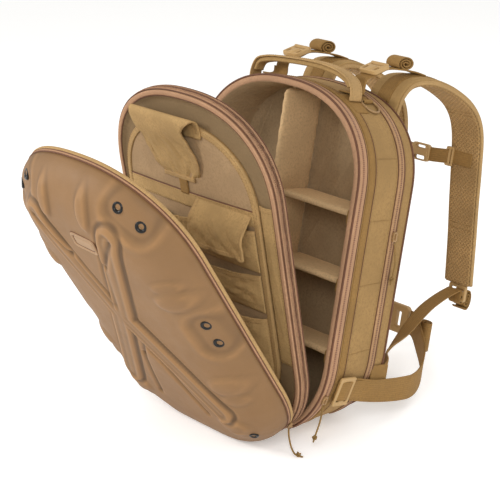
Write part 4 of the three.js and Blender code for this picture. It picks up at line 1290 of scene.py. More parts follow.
    def rim(self, bench: Bench) -> None:
        """Bind the rim with its two dark pipings and its pale tape."""
        def ring(inset: float, h: float) -> Array:
            """Return the rim at an inset and a height."""
            line = SHELL_OUTLINE.line(inset, 20)
            return SHELL.place(line[:, 0], line[:, 1], self.taper(line[:, 1]) + h)
        flat = ((0, 0), (-0.9, -0.6), (-0.9, -2.4), (0, -3), (3, -3), (3, 0))
        tape = skin("rim_tape", [ring(*step) for step in flat], joined=True)
        bench.hand_in(tape, bench.finish.tape, "zip", "shell_binding")
        bulge = (
            (0, -3.4), (-1.6, -4.2), (-2.1, -6), (-1.6, -8), (0, -9.2), (2.5, -9.4), (4, -8.4), (4.2, -5),
            (3.6, -3.4))
        bound = skin("rim_binding", [ring(*step) for step in bulge], joined=True)
        bench.hand_in(bound, bench.finish.edge, "fabric")
        bench.pipe(
            "rim_piping", [ring(-0.3, 0.7), ring(-0.4, -3.1)], 1.0, bench.finish.piping, "zip", ring=True)

    def build(self, bench: Bench) -> None:
        """Make the whole leaf."""
        self.moulding(bench)
        self.eyelets(bench)
        self.plate(bench)
        self.rim(bench)


def ripples(s: Array, t: Array, seed: int, depth: float) -> Array:
    """Return soft folds over a cloth, from a fixed seed.

    Args:
        s: share across the cloth.
        t: share along it.
        seed: which folds.
        depth: about how deep they are, in millimetres.

    Returns:
        The height at each place.
    """
    chance = np.random.default_rng(seed)
    total = np.zeros(np.broadcast(s, t).shape)
    for k in range(8):
        a, b = chance.uniform(-3.5, 3.5) * (1 + k / 4), chance.uniform(-2.5, 2.5) * (1 + k / 4)
        wave = np.sin(2 * pi * (a * s + b * t) + chance.uniform(0, 6.3))
        total += np.sign(wave) * np.abs(wave) ** 1.4 / (1.4 + 0.5 * k)
    return depth * total / 2


def band(
    name: str, at: Callable[[float, float], Array], section: Sequence[Pair], whole: bool = False,
) -> Piece:
    """Sweep a section round an outline, open at the foot unless it is whole.

    Args:
        name: the object's name.
        at: gives the ring of points for an inset and a depth.
        section: the closed section as (inset, depth) rows.
        whole: whether it closes on itself.

    Returns:
        The new object.
    """
    stations = np.stack([at(inset, depth) for inset, depth in section]).transpose(1, 0, 2)
    return skin(name, stations, joined=True) if whole else skin(name, opened(stations))


def side_ways(line: Array, across: Array) -> Array:
    """Return the direction out of a cloth at each point of a line on it.

    Args:
        line: the points.
        across: a direction across the cloth at each point.

    Returns:
        The directions, not of unit length.
    """
    out = np.cross(across, tangents(line))
    return out * np.sign((out @ ORGANIZER.normal()).sum())


def opened(ring: Array) -> Array:
    """Return the rows of an outline without its foot and the start of its corners."""
    skip = round(FINE * 5 / 3)
    return ring[skip : len(ring) - skip + 1]


def tape_section(inset: float, low: float, high: float, thick: float = 1.5) -> list[Pair]:
    """Return the rounded section of a tape that lies outside an inset, between two depths."""
    soft = min(0.5, thick / 2)
    out = inset - thick
    return [
        (inset, low), (out + soft, low), (out, low + soft), (out, high - soft), (out + soft, high),
        (inset, high)]


@dataclass(frozen=True)
class Pocket:
    """A cloth pocket sewn down both sides and along its foot, with a hem at its open top."""

    name: str
    left: float
    right: float
    foot: float
    top: tuple[float, ...]
    bulge: float
    base: float = 19.3
    seed: int = 1
    folds: float = 2.0

    def at(self, s: Array, t: Array, lift: float = 0.0) -> Array:
        """Return points on the pocket's cloth, in metres."""
        rim = np.interp(s, np.linspace(0, 1, len(self.top)), self.top)
        swell = np.sin(pi * np.clip(s, 0, 1)) ** 0.55 * np.sin(np.minimum(t * 1.5, 1) * pi / 2)
        sewn = np.minimum(1, 6 * np.minimum(s, 1 - s)) * np.minimum(1, 5 * t)
        h = self.base + 0.9 + lift + self.bulge * swell + sewn * ripples(s, t, self.seed, self.folds)
        return ORGANIZER.place(self.left + (self.right - self.left) * s, self.foot + (rim - self.foot) * t, h)

    def build(self, bench: Bench) -> None:
        """Make the cloth, its hem and its seams."""
        s, t = np.meshgrid(np.linspace(0, 1, 49), np.linspace(0, 1, 41))
        bench.hand_in(
            cloth_sheet(self.name + "_cloth", self.at(s, t), 1.7), bench.finish.pocket, "pocket", self.name)
        tall = np.mean(self.top) - self.foot
        run = np.linspace(0, 1, 49)
        up = ORGANIZER.up()
        hem = Strap(8.0, 3.0).lay(self.name + "_hem", self.at(run, 1 - 3.6 / tall + 0 * run, 0.1), up)
        bench.hand_in(hem, bench.finish.edge, "pocket")
        out = ORGANIZER.normal()
        wide = self.right - self.left
        rows = [self.at(run[1:-1], 1 - share / tall + 0 * run[1:-1], 1.6) for share in (1.2, 6.4)]
        rows += [self.at(run * 0 + side, run * 0.9, 1.0) for side in (2.2 / wide, 1 - 2.2 / wide)]
        bench.stitch(self.name + "_seams", rows, [out] * 4)


@dataclass
class OrganizerLeaf:
    """The organizer: a bound panel with an arched pocket and smaller pockets on it."""

    thick: float = 20.0
    rim: float = 9.0
    recess: float = 5.6
    field: float = 13.4
    face: float = 18.9
    hem: float = 344.0
    pockets: tuple[Pocket, ...] = (
        Pocket("pen_pocket", -76, -14, 224, (316,), 9, seed=3, folds=2.6),
        Pocket("flap_pocket", 0, 116, 266, (328,), 9, seed=4, folds=2.6),
        Pocket("utility_pocket", -12, 116, 205, (252, 262), 8, seed=5, folds=1.8),
        Pocket("lower_pocket_left", -104, 34, 62, (201,), 10, seed=6, folds=2.8),
        Pocket(
            "lower_pocket_right", 37, 117, 62, (165, 182, 190, 195, 197, 197, 197, 197, 197, 197, 197), 13,
            seed=7, folds=2.6),
        Pocket("side_pocket", 128, 152, 130, (366,), 3, base=13.4, seed=8, folds=0.5))
    tunnel: tuple[tuple[float, float, float, float], ...] = (
        (440, 0.4, -97, 30), (457, 2, -99, 32), (468, 7, -100, 33), (471, 13, -100, 32),
        (465, 17.5, -100, 22), (450, 16.5, -98, 8), (428, 11, -91, 13), (404, 6, -82, 20),
        (386, 3.4, -74, 16), (374, 1.8, -58, 2))

    def at(self, inset: float, share: float) -> Array:
        """Return the rim at an inset and a share of the thickness from back to front."""
        line = OUTLINE.line(inset, FINE)
        v = line[:, 1]
        back, front = 7.2 * np.maximum(0, 1 - v / 19), self.thick - 8 * np.maximum(0, 1 - v / 40)
        return ORGANIZER.place(line[:, 0], v, back + (front - back) * share)

    def panel(self, bench: Bench) -> None:
        """Make the padded panel with its bound rim and zip tapes."""
        deep = 1 - self.recess / self.thick
        rings = [self.at(i, share) for i, share in (
            (4, 0), (1.4, 0.03), (0, 0.12), (0, 0.5), (0, 0.88), (0.6, 0.95), (2, 1), (6, 1.01), (8.4, 0.98),
            (10, 0.93), (12, deep + 0.12), (15, deep + 0.03), (20, deep))]
        bench.hand_in(skin("organizer_cover", rings), bench.finish.rim, "lining", "organizer_panel")
        tape = band("organizer_tape", self.at, tape_section(-0.3, 0.2, 0.84))
        bench.hand_in(tape, bench.finish.tape, "zip", "organizer_zip_band")
        lines = [
            opened(self.at(i, share)) for i, share in ((-0.9, 0.14), (-1.9, 0.52), (-0.9, 0.92), (7.6, 1.0))]
        bench.pipe("organizer_piping", lines, 0.8, bench.finish.piping, "zip")
        face = band(
            "organizer_face_tape", self.at,
            [(0.4, 0.9), (0.3, 1.0), (1.2, 1.06), (6, 1.06), (6.8, 1.03), (6.8, 0.96)])
        bench.hand_in(face, bench.finish.tape, "zip")
        rows = [opened(self.at(-2.0, share)) for share in (0.34, 0.7)]
        outs = [row - opened(self.at(3.0, share)) for row, share in zip(rows, (0.34, 0.7))]
        bench.teeth("organizer_teeth", rows, outs, bench.finish.tape, 2.2)

    def arch(self, bench: Bench) -> None:
        """Make the arched pocket, its edge tape, its seam and its hem."""
        def ring(inset: float, h: float) -> Array:
            """Return the pocket's outline at an inset and a height."""
            line = POCKET_OUTLINE.line(inset, FINE)
            return ORGANIZER.place(line[:, 0], line[:, 1], h)
        outline = POCKET_OUTLINE.line(2.5, FINE)
        heart = np.stack([np.full(len(outline), POCKET_OUTLINE.centre), np.clip(outline[:, 1], 160, 330)], -1)
        rings = [ring(0, self.field), ring(0, self.face - 1.6), ring(0.8, self.face - 0.5)]
        for t in np.linspace(0, 1, 40):
            p = outline + (heart - outline) * t
            fold = ripples(p[:, 0] / 300, p[:, 1] / 300, 12, 0.8) * smooth(0, 0.2, t)
            rings.append(
                ORGANIZER.place(p[:, 0], p[:, 1], self.face + 0.2 + 1.6 * fold - 0.6 * smooth(0, 0.1, t)))
        arch = skin("arch_pocket_cloth", rings, merge=2e-6)
        bench.hand_in(arch, bench.finish.field, "fabric", "arch_pocket")
        edge = [
            (-1.2, 13.6), (-1.4, 18.0), (-0.6, 19.6), (1.2, 20.3), (4, 20.1), (7.2, 20.3), (8.2, 19.8),
            (8.3, 18.5)]
        tape = band("arch_pocket_tape", ring, edge, whole=True)
        bench.hand_in(tape, bench.finish.edge, "webbing")
        rows = [ring(i, 20.4)[20:-20] for i in (0.9, 7.2)]
        bench.stitch("arch_pocket_seams", rows, [ORGANIZER.normal()] * 2)
        u = np.linspace(-141, 117, 120)
        up = ORGANIZER.up()
        sag = 2.2 * np.sin(pi * (u + 141) / 258)
        hem = Strap(22.0, 1.6).lay("arch_hem", ORGANIZER.place(u, self.hem - sag, self.face + 0.6), up)
        bench.hand_in(hem, bench.finish.pocket, "fabric")
        slit = ORGANIZER.place(u, self.hem + 12 - sag, self.face + 0.9)
        bench.pipe("arch_slit", [slit], 1.0, bench.finish.piping, "fabric")
        lines = [ORGANIZER.place(u, self.hem + v - sag, self.face + 1.5) for v in (9, -8)]
        bench.stitch("arch_hem_seams", lines, [ORGANIZER.normal()] * 2)

    def flaps(self, bench: Bench) -> None:
        """Make the tunnel with its tongue, the tongue's tab and the flap over a pocket."""
        rows = curve_through(self.tunnel, 70)
        rows[:, 1] = np.maximum(rows[:, 1], 0.2)
        run = np.gradient(rows[:, :2], axis=0)
        run /= norm(run, axis=1)[:, None]
        share = np.linspace(0, 1, 33)
        tongue = smooth(0.45, 0.6, np.linspace(0, 1, len(rows)))[:, None]

        def at(s: Array, lift: float) -> Array:
            """Return the tunnel at shares of its width, lifted off it."""
            fold = tongue * ripples(s[None], np.linspace(0, 1, len(rows))[:, None], 21, 3.4)
            off = lift - 0.9 - np.abs(fold)
            u = rows[:, 2:3] + (rows[:, 3:4] - rows[:, 2:3]) * s[None]
            return ORGANIZER.place(
                u, rows[:, :1] + run[:, 1:] * off, self.face + rows[:, 1:2] - run[:, :1] * off)
        bench.hand_in(
            cloth_sheet("tunnel_cloth", at(share, 0), 1.8), bench.finish.pocket, "pocket", "tunnel_flap")
        ends = at(np.array([0.03, 0.97]), -0.6)
        lines = [ends[4:, k] for k in (0, 1)]
        tapes = [
            Strap(7.0, 2.9).lay(f"tunnel_edge_{k}", line, ends[4:, 1] - ends[4:, 0])
            for k, line in enumerate(lines)]
        bench.hand_in(joined("tunnel_edges", tapes), bench.finish.edge, "pocket")
        for k, (low, high) in enumerate(((0.2, 0.42), (0.56, 0.78))):
            patch = cloth_sheet(f"tongue_patch_{k + 1}", at(np.linspace(low, high, 9), -1.3)[44:63], 1.6)
            bench.hand_in(patch, bench.finish.loop, "pocket")
        sides = at(np.array([0.09, 0.91]), -1.5)[8:-6]
        across = at(np.linspace(0.12, 0.88, 24), -1.7)
        outs = [side_ways(side, sides[:, 1] - sides[:, 0]) for side in (sides[:, 0], sides[:, 1])]
        outs += [ORGANIZER.normal()] * 3
        bench.stitch("tunnel_seams", [sides[:, 0], sides[:, 1], across[30], across[42], across[58]], outs)
        up = ORGANIZER.up()
        tip = Strap(7.0, 2.6).lay(
            "tongue_tip", ORGANIZER.place(np.linspace(-60, 4, 30), 375 + 0 * share[:30], self.face + 1.9), up)
        bench.hand_in(tip, bench.finish.edge, "pocket")
        v = np.linspace(351, 373, 12)
        tab = Strap(17.0, 2.0).lay("tongue_tab", ORGANIZER.place(-22, v, self.face + 1.6), (1, 0, 0))
        bench.hand_in(tab, bench.finish.webbing, "webbing")
        s, t = np.meshgrid(np.linspace(0, 1, 41), np.linspace(0, 1, 31))

        def flap(s: Array, t: Array, lift: float = 0.0) -> Array:
            """Return points of the pocket's flap."""
            h = 20.2 + lift + 24 * np.sin(np.minimum(t * 1.6, 1) * pi / 2)
            h = h + ripples(s, t, 31, 1.9) * np.minimum(1, 3 * t)
            return ORGANIZER.place(2 + 112 * s, 349 - 57 * t, h)
        bench.hand_in(
            cloth_sheet("pocket_flap_cloth", flap(s, t), 1.8), bench.finish.pocket, "pocket", "pocket_flap")
        go, one = np.linspace(0, 1, 30), np.ones(30)
        path = np.concatenate([
            np.stack([0.03 * one, go], -1), np.stack([0.03 + 0.94 * go, 0.96 * one], -1)[1:],
            np.stack([0.97 * one, 1 - go], -1)[1:]])
        inner = path + np.sign(np.array([0.5, 0.4]) - path) * np.array([0.06, 0.1])
        bound = flap(path[:, 0], path[:, 1], 0.2)
        edge = Strap(7.0, 2.8).lay("pocket_flap_edge", bound, flap(inner[:, 0], inner[:, 1], 0.2) - bound)
        bench.hand_in(edge, bench.finish.edge, "pocket")

    def build(self, bench: Bench) -> None:
        """Make the whole leaf."""
        self.panel(bench)
        self.arch(bench)
        for pocket in self.pockets:
            pocket.build(bench)
        self.flaps(bench)


@dataclass(frozen=True)
class Filling:
    """How a padded piece is blown up by a short cloth simulation."""

    voxel: float = 5.0
    pressure: float = 4.0
    limit: float = 5.0
    frames: int = 20
    fill: float = 0.6

    def swell(self, thing: Piece) -> Piece:
        """Args:
            thing: a closed mesh, slightly smaller than the pad.

        Returns:
            The same object.
        """
        remesh = thing.modifiers.new("Even", "REMESH")
        remesh.mode, remesh.voxel_size, remesh.use_smooth_shade = "VOXEL", self.voxel * MM, True
        settle(thing)
        before = self.points(thing.data)
        cloth = thing.modifiers.new("Cloth", "CLOTH")
        cloth.settings.use_pressure = True
        cloth.settings.uniform_pressure_force = self.pressure
        cloth.settings.effector_weights.gravity = 0.0
        cloth.point_cache.frame_start, cloth.point_cache.frame_end = 1, self.frames
        for step in range(1, self.frames + 1):
            bpy.context.scene.frame_set(step)
        graph = bpy.context.evaluated_depsgraph_get()
        moved = self.points(thing.evaluated_get(graph).data) - before
        thing.modifiers.clear()
        reach = np.maximum(norm(moved, axis=1), 1e-9)
        moved *= (np.minimum(reach, self.limit * MM) / reach)[:, None]
        thing.data.vertices.foreach_set("co", (before + moved).astype(np.float32).ravel())
        bpy.context.scene.frame_set(1)
        soften(thing)
        return thing

    @staticmethod
    def points(mesh: bpy.types.Mesh) -> Array:
        """Return a mesh's points."""
        flat = np.empty(len(mesh.vertices) * 3, np.float32)
        mesh.vertices.foreach_get("co", flat)
        return flat.reshape(-1, 3).astype(float)


def case_at(inset: float, depth: float) -> Array:
    """Return a fine ring of the case at an inset and a depth."""
    return gusset(inset, depth, OUTLINE.line(inset, FINE))


@dataclass
class MainCase:
    """The open case: its walls, zip tapes, webbing, seams, lining, shelves and divider."""

    wall: float = 10.0
    back: float = 86.0
    strip: Pair = (22.0, 34.0)
    seams: tuple[float, ...] = (0.83, 0.655, 0.47, 0.27)
    shelves: tuple[float, ...] = (0.682, 0.489, 0.284)
    shelf_thick: float = 9.0
    divider_left: float = -15.0
    divider_thick: float = 8.0
    divider_top: float = 486.0
    gap: float = 0.6

    def walls(self, bench: Bench) -> None:
        """Make the cloth walls, outside and inside, as one closed body."""
        outer = [case_at(0, d) for d in (92.6, 80, 66, 52, 38, 24, 12, 4)]
        lip = [
            case_at(i, d)
            for i, d in ((0.4, 1.6), (1.6, 0.3), (3.5, -0.2), (6, -0.2), (8, 0.5), (9.4, 1.8), (9.9, 4))]
        inner = []
        for depth in np.linspace(8, self.back, 16):
            line = OUTLINE.line(self.wall, FINE)
            slack = smooth(330, 460, line[:, 1]) * smooth(4, 20, depth)
            angle = np.arange(len(line)) / len(line)
            push = ripples(angle * 15, depth / 90 + 0 * angle, 41, 3.0) * slack
            centre = np.array([0.0, 250.0])
            inward = (centre - line) / norm(centre - line, axis=1)[:, None]
            inner.append(gusset(0, depth, line + inward * np.abs(push)[:, None]))
        case = skin("case_walls", outer + lip + inner)
        for finish in (bench.finish.fabric, bench.finish.lining, bench.finish.tape):
            case.data.materials.append(finish)
        index = np.zeros(len(case.data.polygons), np.int32)
        index[len(outer) * len(outer[0]):] = 2
        index[(len(outer) + 5) * len(outer[0]):] = 1
        index[-2] = 0
        case.data.polygons.foreach_set("material_index", index)
        bench.hand_in(case, None, "fabric", "main_case")

    def bands(self, bench: Bench) -> None:
        """Make the zip tapes, the webbing strip, the pipings and the seams on the walls."""
        for word, low, high, finish in (
            ("front", 3, 17, bench.finish.tape), ("rear", 81, 91, bench.finish.rear_tape)
        ):
            tape = band(f"case_{word}_tape", case_at, tape_section(-0.3, low, high))
            bench.hand_in(tape, finish, "zip", f"{word}_zip_band")
        web = band("case_webbing", case_at, tape_section(0.2, *self.strip, 1.4))
        bench.hand_in(web, bench.finish.webbing, "webbing")
        lines = [
            opened(case_at(i, d))
            for i, d in ((-0.6, 1.4), (-0.6, 18.6), (-0.3, 35.4), (-0.6, 92.2), (-0.4, 80.2))]
        bench.pipe("case_piping", [lines[0], lines[3]], 1.5, bench.finish.piping, "zip")
        bench.pipe("case_fine_piping", [lines[1], lines[2], lines[4]], 0.6, bench.finish.piping, "zip")
        rows = [opened(case_at(-1.9, d)) for d in (9.5, 86)]
        outs = [row - opened(case_at(3.0, d)) for row, d in zip(rows, (9.5, 86))]
        bench.teeth("case_teeth", rows, outs, bench.finish.teeth, 2.6)
        rows = [opened(case_at(i, d)) for i, d in ((-1.3, 23.6), (-1.3, 32.4), (-0.1, 38.5), (-0.1, 77.0))]
        bench.stitch("case_seams", rows, [row - opened(case_at(4.0, 30)) for row in rows])
        cross = []
        for share in self.seams:
            v = share * OUTLINE.height
            for side in (1, -1):
                depth = np.linspace(19, 79, 24)
                half = OUTLINE.half_at(v)
                cross.append(gusset(0, depth, np.stack([side * (half + 0.2) + 0 * depth, v + 0 * depth], -1)))
        bench.pipe("case_cross_seams", cross, 0.5, bench.finish.thread, "fabric")

    def inside(self, bench: Bench) -> None:
        """Make the padded divider and the shelves with their covers."""
        back = self.back - 0.4
        left = self.divider_left + self.divider_thick + self.gap
        right = OUTLINE.half_width - self.wall - self.gap
        rings = []
        for k, x in enumerate((-14.4, -12.5, -9.5, -7.6)):
            trim = 1.5 if k in (0, 3) else 0.0
            y = np.array([10 + trim, 17, 45, back, back, 45, 17, 10 + trim])
            foot = y * tan(LEAN) + self.wall + 0.8
            z = np.where(
                np.arange(8) < 4, foot, self.divider_top - trim) + np.array([6, 0, 0, 0, 0, 0, 0, -6])
            rings.append(bag(np.stack([x + 0 * y, y, z], -1)))
        divider = Filling(4.0, 3.0, 1.2, fill=0.7).swell(skin("divider_pad", rings))
        bench.hand_in(divider, bench.finish.pad, "lining", "vertical_divider")
        for k, share in enumerate(self.shelves):
            z, t = share * OUTLINE.height, self.shelf_thick
            section = [
                (18.6, z - 0.72 * t), (18.6, z - 0.28 * t), (21, z - 0.6), (back, z - 0.6),
                (back, z - t + 0.6), (21, z - t + 0.6)]
            ends = [bag([(x, y, h) for y, h in section]) for x in (left, left + 30, right - 30, right)]
            pad = Filling(3.2, 4.0, 1.2, fill=0.8).swell(skin(f"shelf_pad_{k + 1}", ends))
            bench.hand_in(pad, bench.finish.pad, "lining", f"shelf_{k + 1}")
            for x, tag in ((left + 6, "a"), (right - 8, "b")):
                line = bag([
                    (x, 22, z + 0.8), (x, 15.6, z - 0.5), (x, 15.2, z - t / 2), (x, 16, z - t - 8),
                    (x, 22, z - t - 13)])
                tab = Strap(11.0, 1.4).lay(f"shelf_tab_{k + 1}{tag}", curve_through(line, 24), (1, 0, 0))
                bench.hand_in(tab, bench.finish.webbing, "lining")

    def build(self, bench: Bench) -> None:
        """Make the whole case."""
        self.walls(bench)
        self.bands(bench)
        self.inside(bench)


@dataclass
class RearPanel:
    """The slim rear compartment with its padded mesh back."""

    depth: float = BACK

    def build(self, bench: Bench) -> None:
        """Make the compartment and its back pad."""
        rings = [case_at(12, self.depth - 7), case_at(10, CASE_DEPTH + 0.2), case_at(1, CASE_DEPTH + 0.2)]
        rings += [
            case_at(i, d)
            for i, d in ((1.4, 100), (2, 108), (3, 116), (5, 120), (9, 123), (16, 124.8), (24, 125))]
        rear = skin("rear_walls", rings)
        bench.hand_in(rear, bench.finish.fabric, "fabric", "rear_compartment")
        bench.pipe("rear_piping", [opened(case_at(2.4, 115))], 1.6, bench.finish.piping, "zip")

        def pad(inset: float, y: float) -> Array:
            """Return the pad's outline at an inset and a depth."""
            line = PAD_OUTLINE.line(inset, 10)
            return bag(np.stack([line[:, 0], y + 0 * line[:, 0], line[:, 1]], -1))
        start = [pad(3, 125.8), pad(1, 128), pad(1, 131), pad(6, 134.4)]
        cushion = Filling(5.5, 4.0, 2.2, fill=0.7).swell(skin("back_cushion", start))
        bench.hand_in(cushion, bench.finish.back, "lining", "back_pad")
        bench.pipe("back_cushion_piping", [pad(-0.6, 126.4)], 1.7, bench.finish.edge, "fabric", ring=True)


def plate(
    name: str, size: Point, corner: float, centre: Array, right: Array, up: Array,
    windows: Sequence[tuple[float, float, float, float]] = (), round_: float = 0.8,
) -> Piece:
    """Make a moulded plate with rounded edges and windows.

    Args:
        name: the object's name.
        size: width, height and thickness in millimetres.
        corner: corner radius.
        centre: its middle in metres.
        right: the direction of its width.
        up: the direction of its height.
        windows: middle, width and height of each window.
        round_: how far its edges are rounded.

    Returns:
        The new object.
    """
    curve = bpy.data.curves.new(name, "CURVE")
    curve.dimensions, curve.fill_mode = "2D", "BOTH"
    curve.extrude, curve.bevel_depth, curve.bevel_resolution = (size[2] / 2 - round_) * MM, round_ * MM, 2

    def outline(x: float, y: float, width: float, height: float, radius: float) -> None:
        """Add a rounded rectangle to the curve."""
        spline = curve.splines.new("POLY")
        points = []
        for cx, cy, start in ((1, -1, -90), (1, 1, 0), (-1, 1, 90), (-1, -1, 180)):
            for k in range(7):
                t = radians(start + 15 * k)
                points.append((x + cx * (width / 2 - radius) + radius * cos(t),
                               y + cy * (height / 2 - radius) + radius * sin(t)))
        spline.points.add(len(points) - 1)
        for point, (px, py) in zip(spline.points, points):
            point.co = (px * MM, py * MM, 0, 1)
        spline.use_cyclic_u = True
    outline(0, 0, size[0] - 2 * round_, size[1] - 2 * round_, max(corner - round_, 0.5))
    for x, y, width, height in windows:
        wide, tall = width + 2 * round_, height + 2 * round_
        outline(x, y, wide, tall, min(1.2 + round_, wide / 2 - 0.05, tall / 2 - 0.05))
    holder = bpy.data.objects.new(name, curve)
    bpy.context.scene.collection.objects.link(holder)
    graph = bpy.context.evaluated_depsgraph_get()
    mesh = bpy.data.meshes.new_from_object(holder.evaluated_get(graph), depsgraph=graph)
    bpy.data.objects.remove(holder)
    bpy.data.curves.remove(curve)
    x = Vector(np.asarray(right, float)).normalized()
    z = x.cross(Vector(np.asarray(up, float))).normalized()
    turn = Matrix((x, z.cross(x), z)).transposed().to_4x4()
    mesh.transform(Matrix.Translation(Vector(np.asarray(centre, float))) @ turn)
    face_out(mesh, 1e-6)
    mesh.polygons.foreach_set("use_smooth", np.zeros(len(mesh.polygons), bool))
    return add_object(name, mesh)


def rolled(
    name: str, centre: Array, across: Array, long: Array, short: Array, size: Pair, width: float,
) -> Piece:
    """Make a webbing end rolled up on itself.

    Args:
        name: the object's name.
        centre: the roll's middle in metres.
        across: the direction of the webbing's width.
        long: the direction of the roll's long side.
        short: the direction of its short side.
        size: half its long and short sides in millimetres.
        width: the webbing's width.

    Returns:
        The new object.
    """
    t = np.linspace(0, 1, 110)[:, None]
    angle, reach = 2 * pi * 2.6 * t, (0.16 + 0.84 * t) * MM
    far = np.asarray(long) * reach * size[0] * np.cos(angle)
    line = centre + far + np.asarray(short) * reach * size[1] * np.sin(angle)
    return Strap(width, 2.0).lay(name, line, across)


X_AXIS, Y_BACK, Z_UP = np.array([1.0, 0.0, 0.0]), heading((0, 1, 0)), heading((0, 0, 1))


def turned(y: float, z: float) -> Array:
    """Return a direction in the upright bag's own YZ plane."""
    return y * Y_BACK + z * Z_UP


@dataclass
class Harness:
    """Shoulder straps with load lifters, lower straps and the sternum strap."""

    x: float = 78.0
    width: Pair = (60.0, 52.0)
    thick: float = 12.0
    reach: float = 230.0
    web: float = 25.0
    rows: tuple[Pair, ...] = (
        (0, 0.9), (0.002, 0.95), (0.018, 0.992), (0.08, 1.026), (0.21, 1.038), (0.354, 1.03), (0.515, 1.008),
        (0.667, 0.974), (0.767, 0.932), (0.82, 0.884), (0.863, 0.79), (0.906, 0.67), (0.95, 0.56), (1, 0.414))

    def route(self) -> Array:
        """Return the middle line of the right shoulder strap as upright bag points."""
        start = BACK + 0.8 + self.thick / 2
        points = [
            (self.x - 12 * max(0, 1 - k / 4), start + out * self.reach, up * OUTLINE.height)
            for k, (out, up) in enumerate(self.rows)]
        return curve_through(points, 120)

    def shoulder(self, bench: Bench) -> None:
        """Make the padded strap with its mesh face, edge, webbing and seams."""
        line = bag(self.route())
        side, out = sides_along(line, np.broadcast_to(X_AXIS, line.shape))

        def wide(trim: float) -> Callable[[float], float]:
            """Return the strap's width by share of length."""
            top, foot = self.width
            return lambda t: top + (foot - top) * float(smooth(0.35, 1, t)) - trim
        cover = Strap(60, 6.4, 0.9, 0.5).lay("strap_cover", line - out * 2.6 * MM, X_AXIS, wide(0))
        bench.hand_pair(cover, bench.finish.strap, "fabric", "shoulder_strap")
        mesh = Strap(56, 6.6, 0.9, 0.8).lay("strap_mesh", line + out * 2.6 * MM, X_AXIS, wide(3))
        bench.hand_pair(mesh, bench.finish.mesh, "lining")
        edges = []
        for sign in (1, -1):
            reach = np.array([wide(1.4)(k / 120) / 2 * MM for k in range(121)])[:, None]
            edge = Strap(6.5, 2.6, 0.9).lay(f"edge_{sign}", line + sign * side * reach + out * 0.2 * MM, out)
            edges.append(edge)
        bench.hand_pair(joined("strap_edges", edges), bench.finish.edge, "fabric")
        runs = []
        for low, high in ((8, 36), (43, 78), (84, 112)):
            runs.append(Strap(self.web, 1.8).lay(f"run_{low}", (line - out * 6.7 * MM)[low:high], X_AXIS))
        bench.hand_pair(joined("strap_webbing", runs), bench.finish.webbing, "webbing")
        seams = []
        for at in (52, 54, 97, 99):
            half = wide(14)(at / 120) / 2 * MM
            span = np.linspace(-half, half, 14)[:, None]
            seams.extend(line[at] + span * side[at] + out[at] * rise * MM for rise in (6.3, -6.2))
        bench.hand_pair(
            bench.piping.grow("strap_seams", seams, bench.finish.thread, Radius=0.8 * MM),
            bench.finish.thread, "fabric")
        rows = [line[10:110] + sign * side[10:110] * 9.5 * MM - out[10:110] * 7.7 * MM for sign in (1, -1)]
        stitches = bench.rods.grow("strap_stitches", rows, bench.finish.thread, [-out[10:110]] * 2, **STITCH)
        bench.hand_pair(stitches, bench.finish.thread, "webbing")

    def lifter(self, bench: Bench) -> None:
        """Make the load lifter, its buckle and its rolled end."""
        crest = self.route()[24]
        x, anchor_y = 79.0, 64.0
        foot = OUTLINE.top_at(x - self.web / 2) + SEAT
        middle = np.array([x, anchor_y + 23, foot + 31])
        slope = radians(22)

        def along(run: float) -> Point:
            """Return a point of the sloping web."""
            return (x, middle[1] + run * cos(slope), middle[2] + run * sin(slope))
        points = [(x, anchor_y, foot), (x, anchor_y, foot + 12), along(-22), along(-12), along(4), along(20),
                  (x, crest[1] - 20, crest[2] + 12), (x, crest[1] + 6, crest[2] + 7.7)]
        web = Strap(self.web, 2.4).lay("lifter_web", bag(curve_through(points, 70)), X_AXIS)
        bench.hand_pair(web, bench.finish.webbing, "webbing", "load_lifter")
        anchor = [(anchor_y - 1.8, foot + 13), (anchor_y - 2, foot + 4), (anchor_y - 7, foot + 1.6),
                  (anchor_y - 24, foot + 1.8)]
        tab = Strap(29.0, 2.2).lay(
            "lifter_anchor", bag(curve_through([(x, y, z) for y, z in anchor], 20)), X_AXIS)
        bench.hand_pair(tab, bench.finish.webbing, "webbing")
        roll = rolled(
            "lifter_roll", bag((x, middle[1] + 55, middle[2] + 17)), X_AXIS, Y_BACK, Z_UP, (17, 10), self.web)
        bench.hand_pair(roll, bench.finish.webbing, "webbing")
        forward, over = turned(cos(slope), sin(slope)), turned(-sin(slope), cos(slope))
        centre = bag(along(4)) + over * 5.3 * MM
        windows = [(-10.6, -5, 4.6, 11), (10.6, -5, 4.6, 11), (0, 7.4, 23, 4.4)]
        body = plate("lifter_buckle_frame", (33, 30, 7), 5, centre, X_AXIS, forward, windows, 1.6)
        core = plate(
            "lifter_buckle_core", (12, 15, 9.5), 4, centre - forward * 5 * MM, X_AXIS, forward, (), 2.2)
        bar = plate(
            "lifter_buckle_bar", (33, 4, 9), 1.8, centre + forward * 12.6 * MM, X_AXIS, forward, (), 1.4)
        bench.hand_pair(
            joined("lifter_clip", [body, core, bar]), bench.finish.plastic, "plastic", "lifter_buckle")

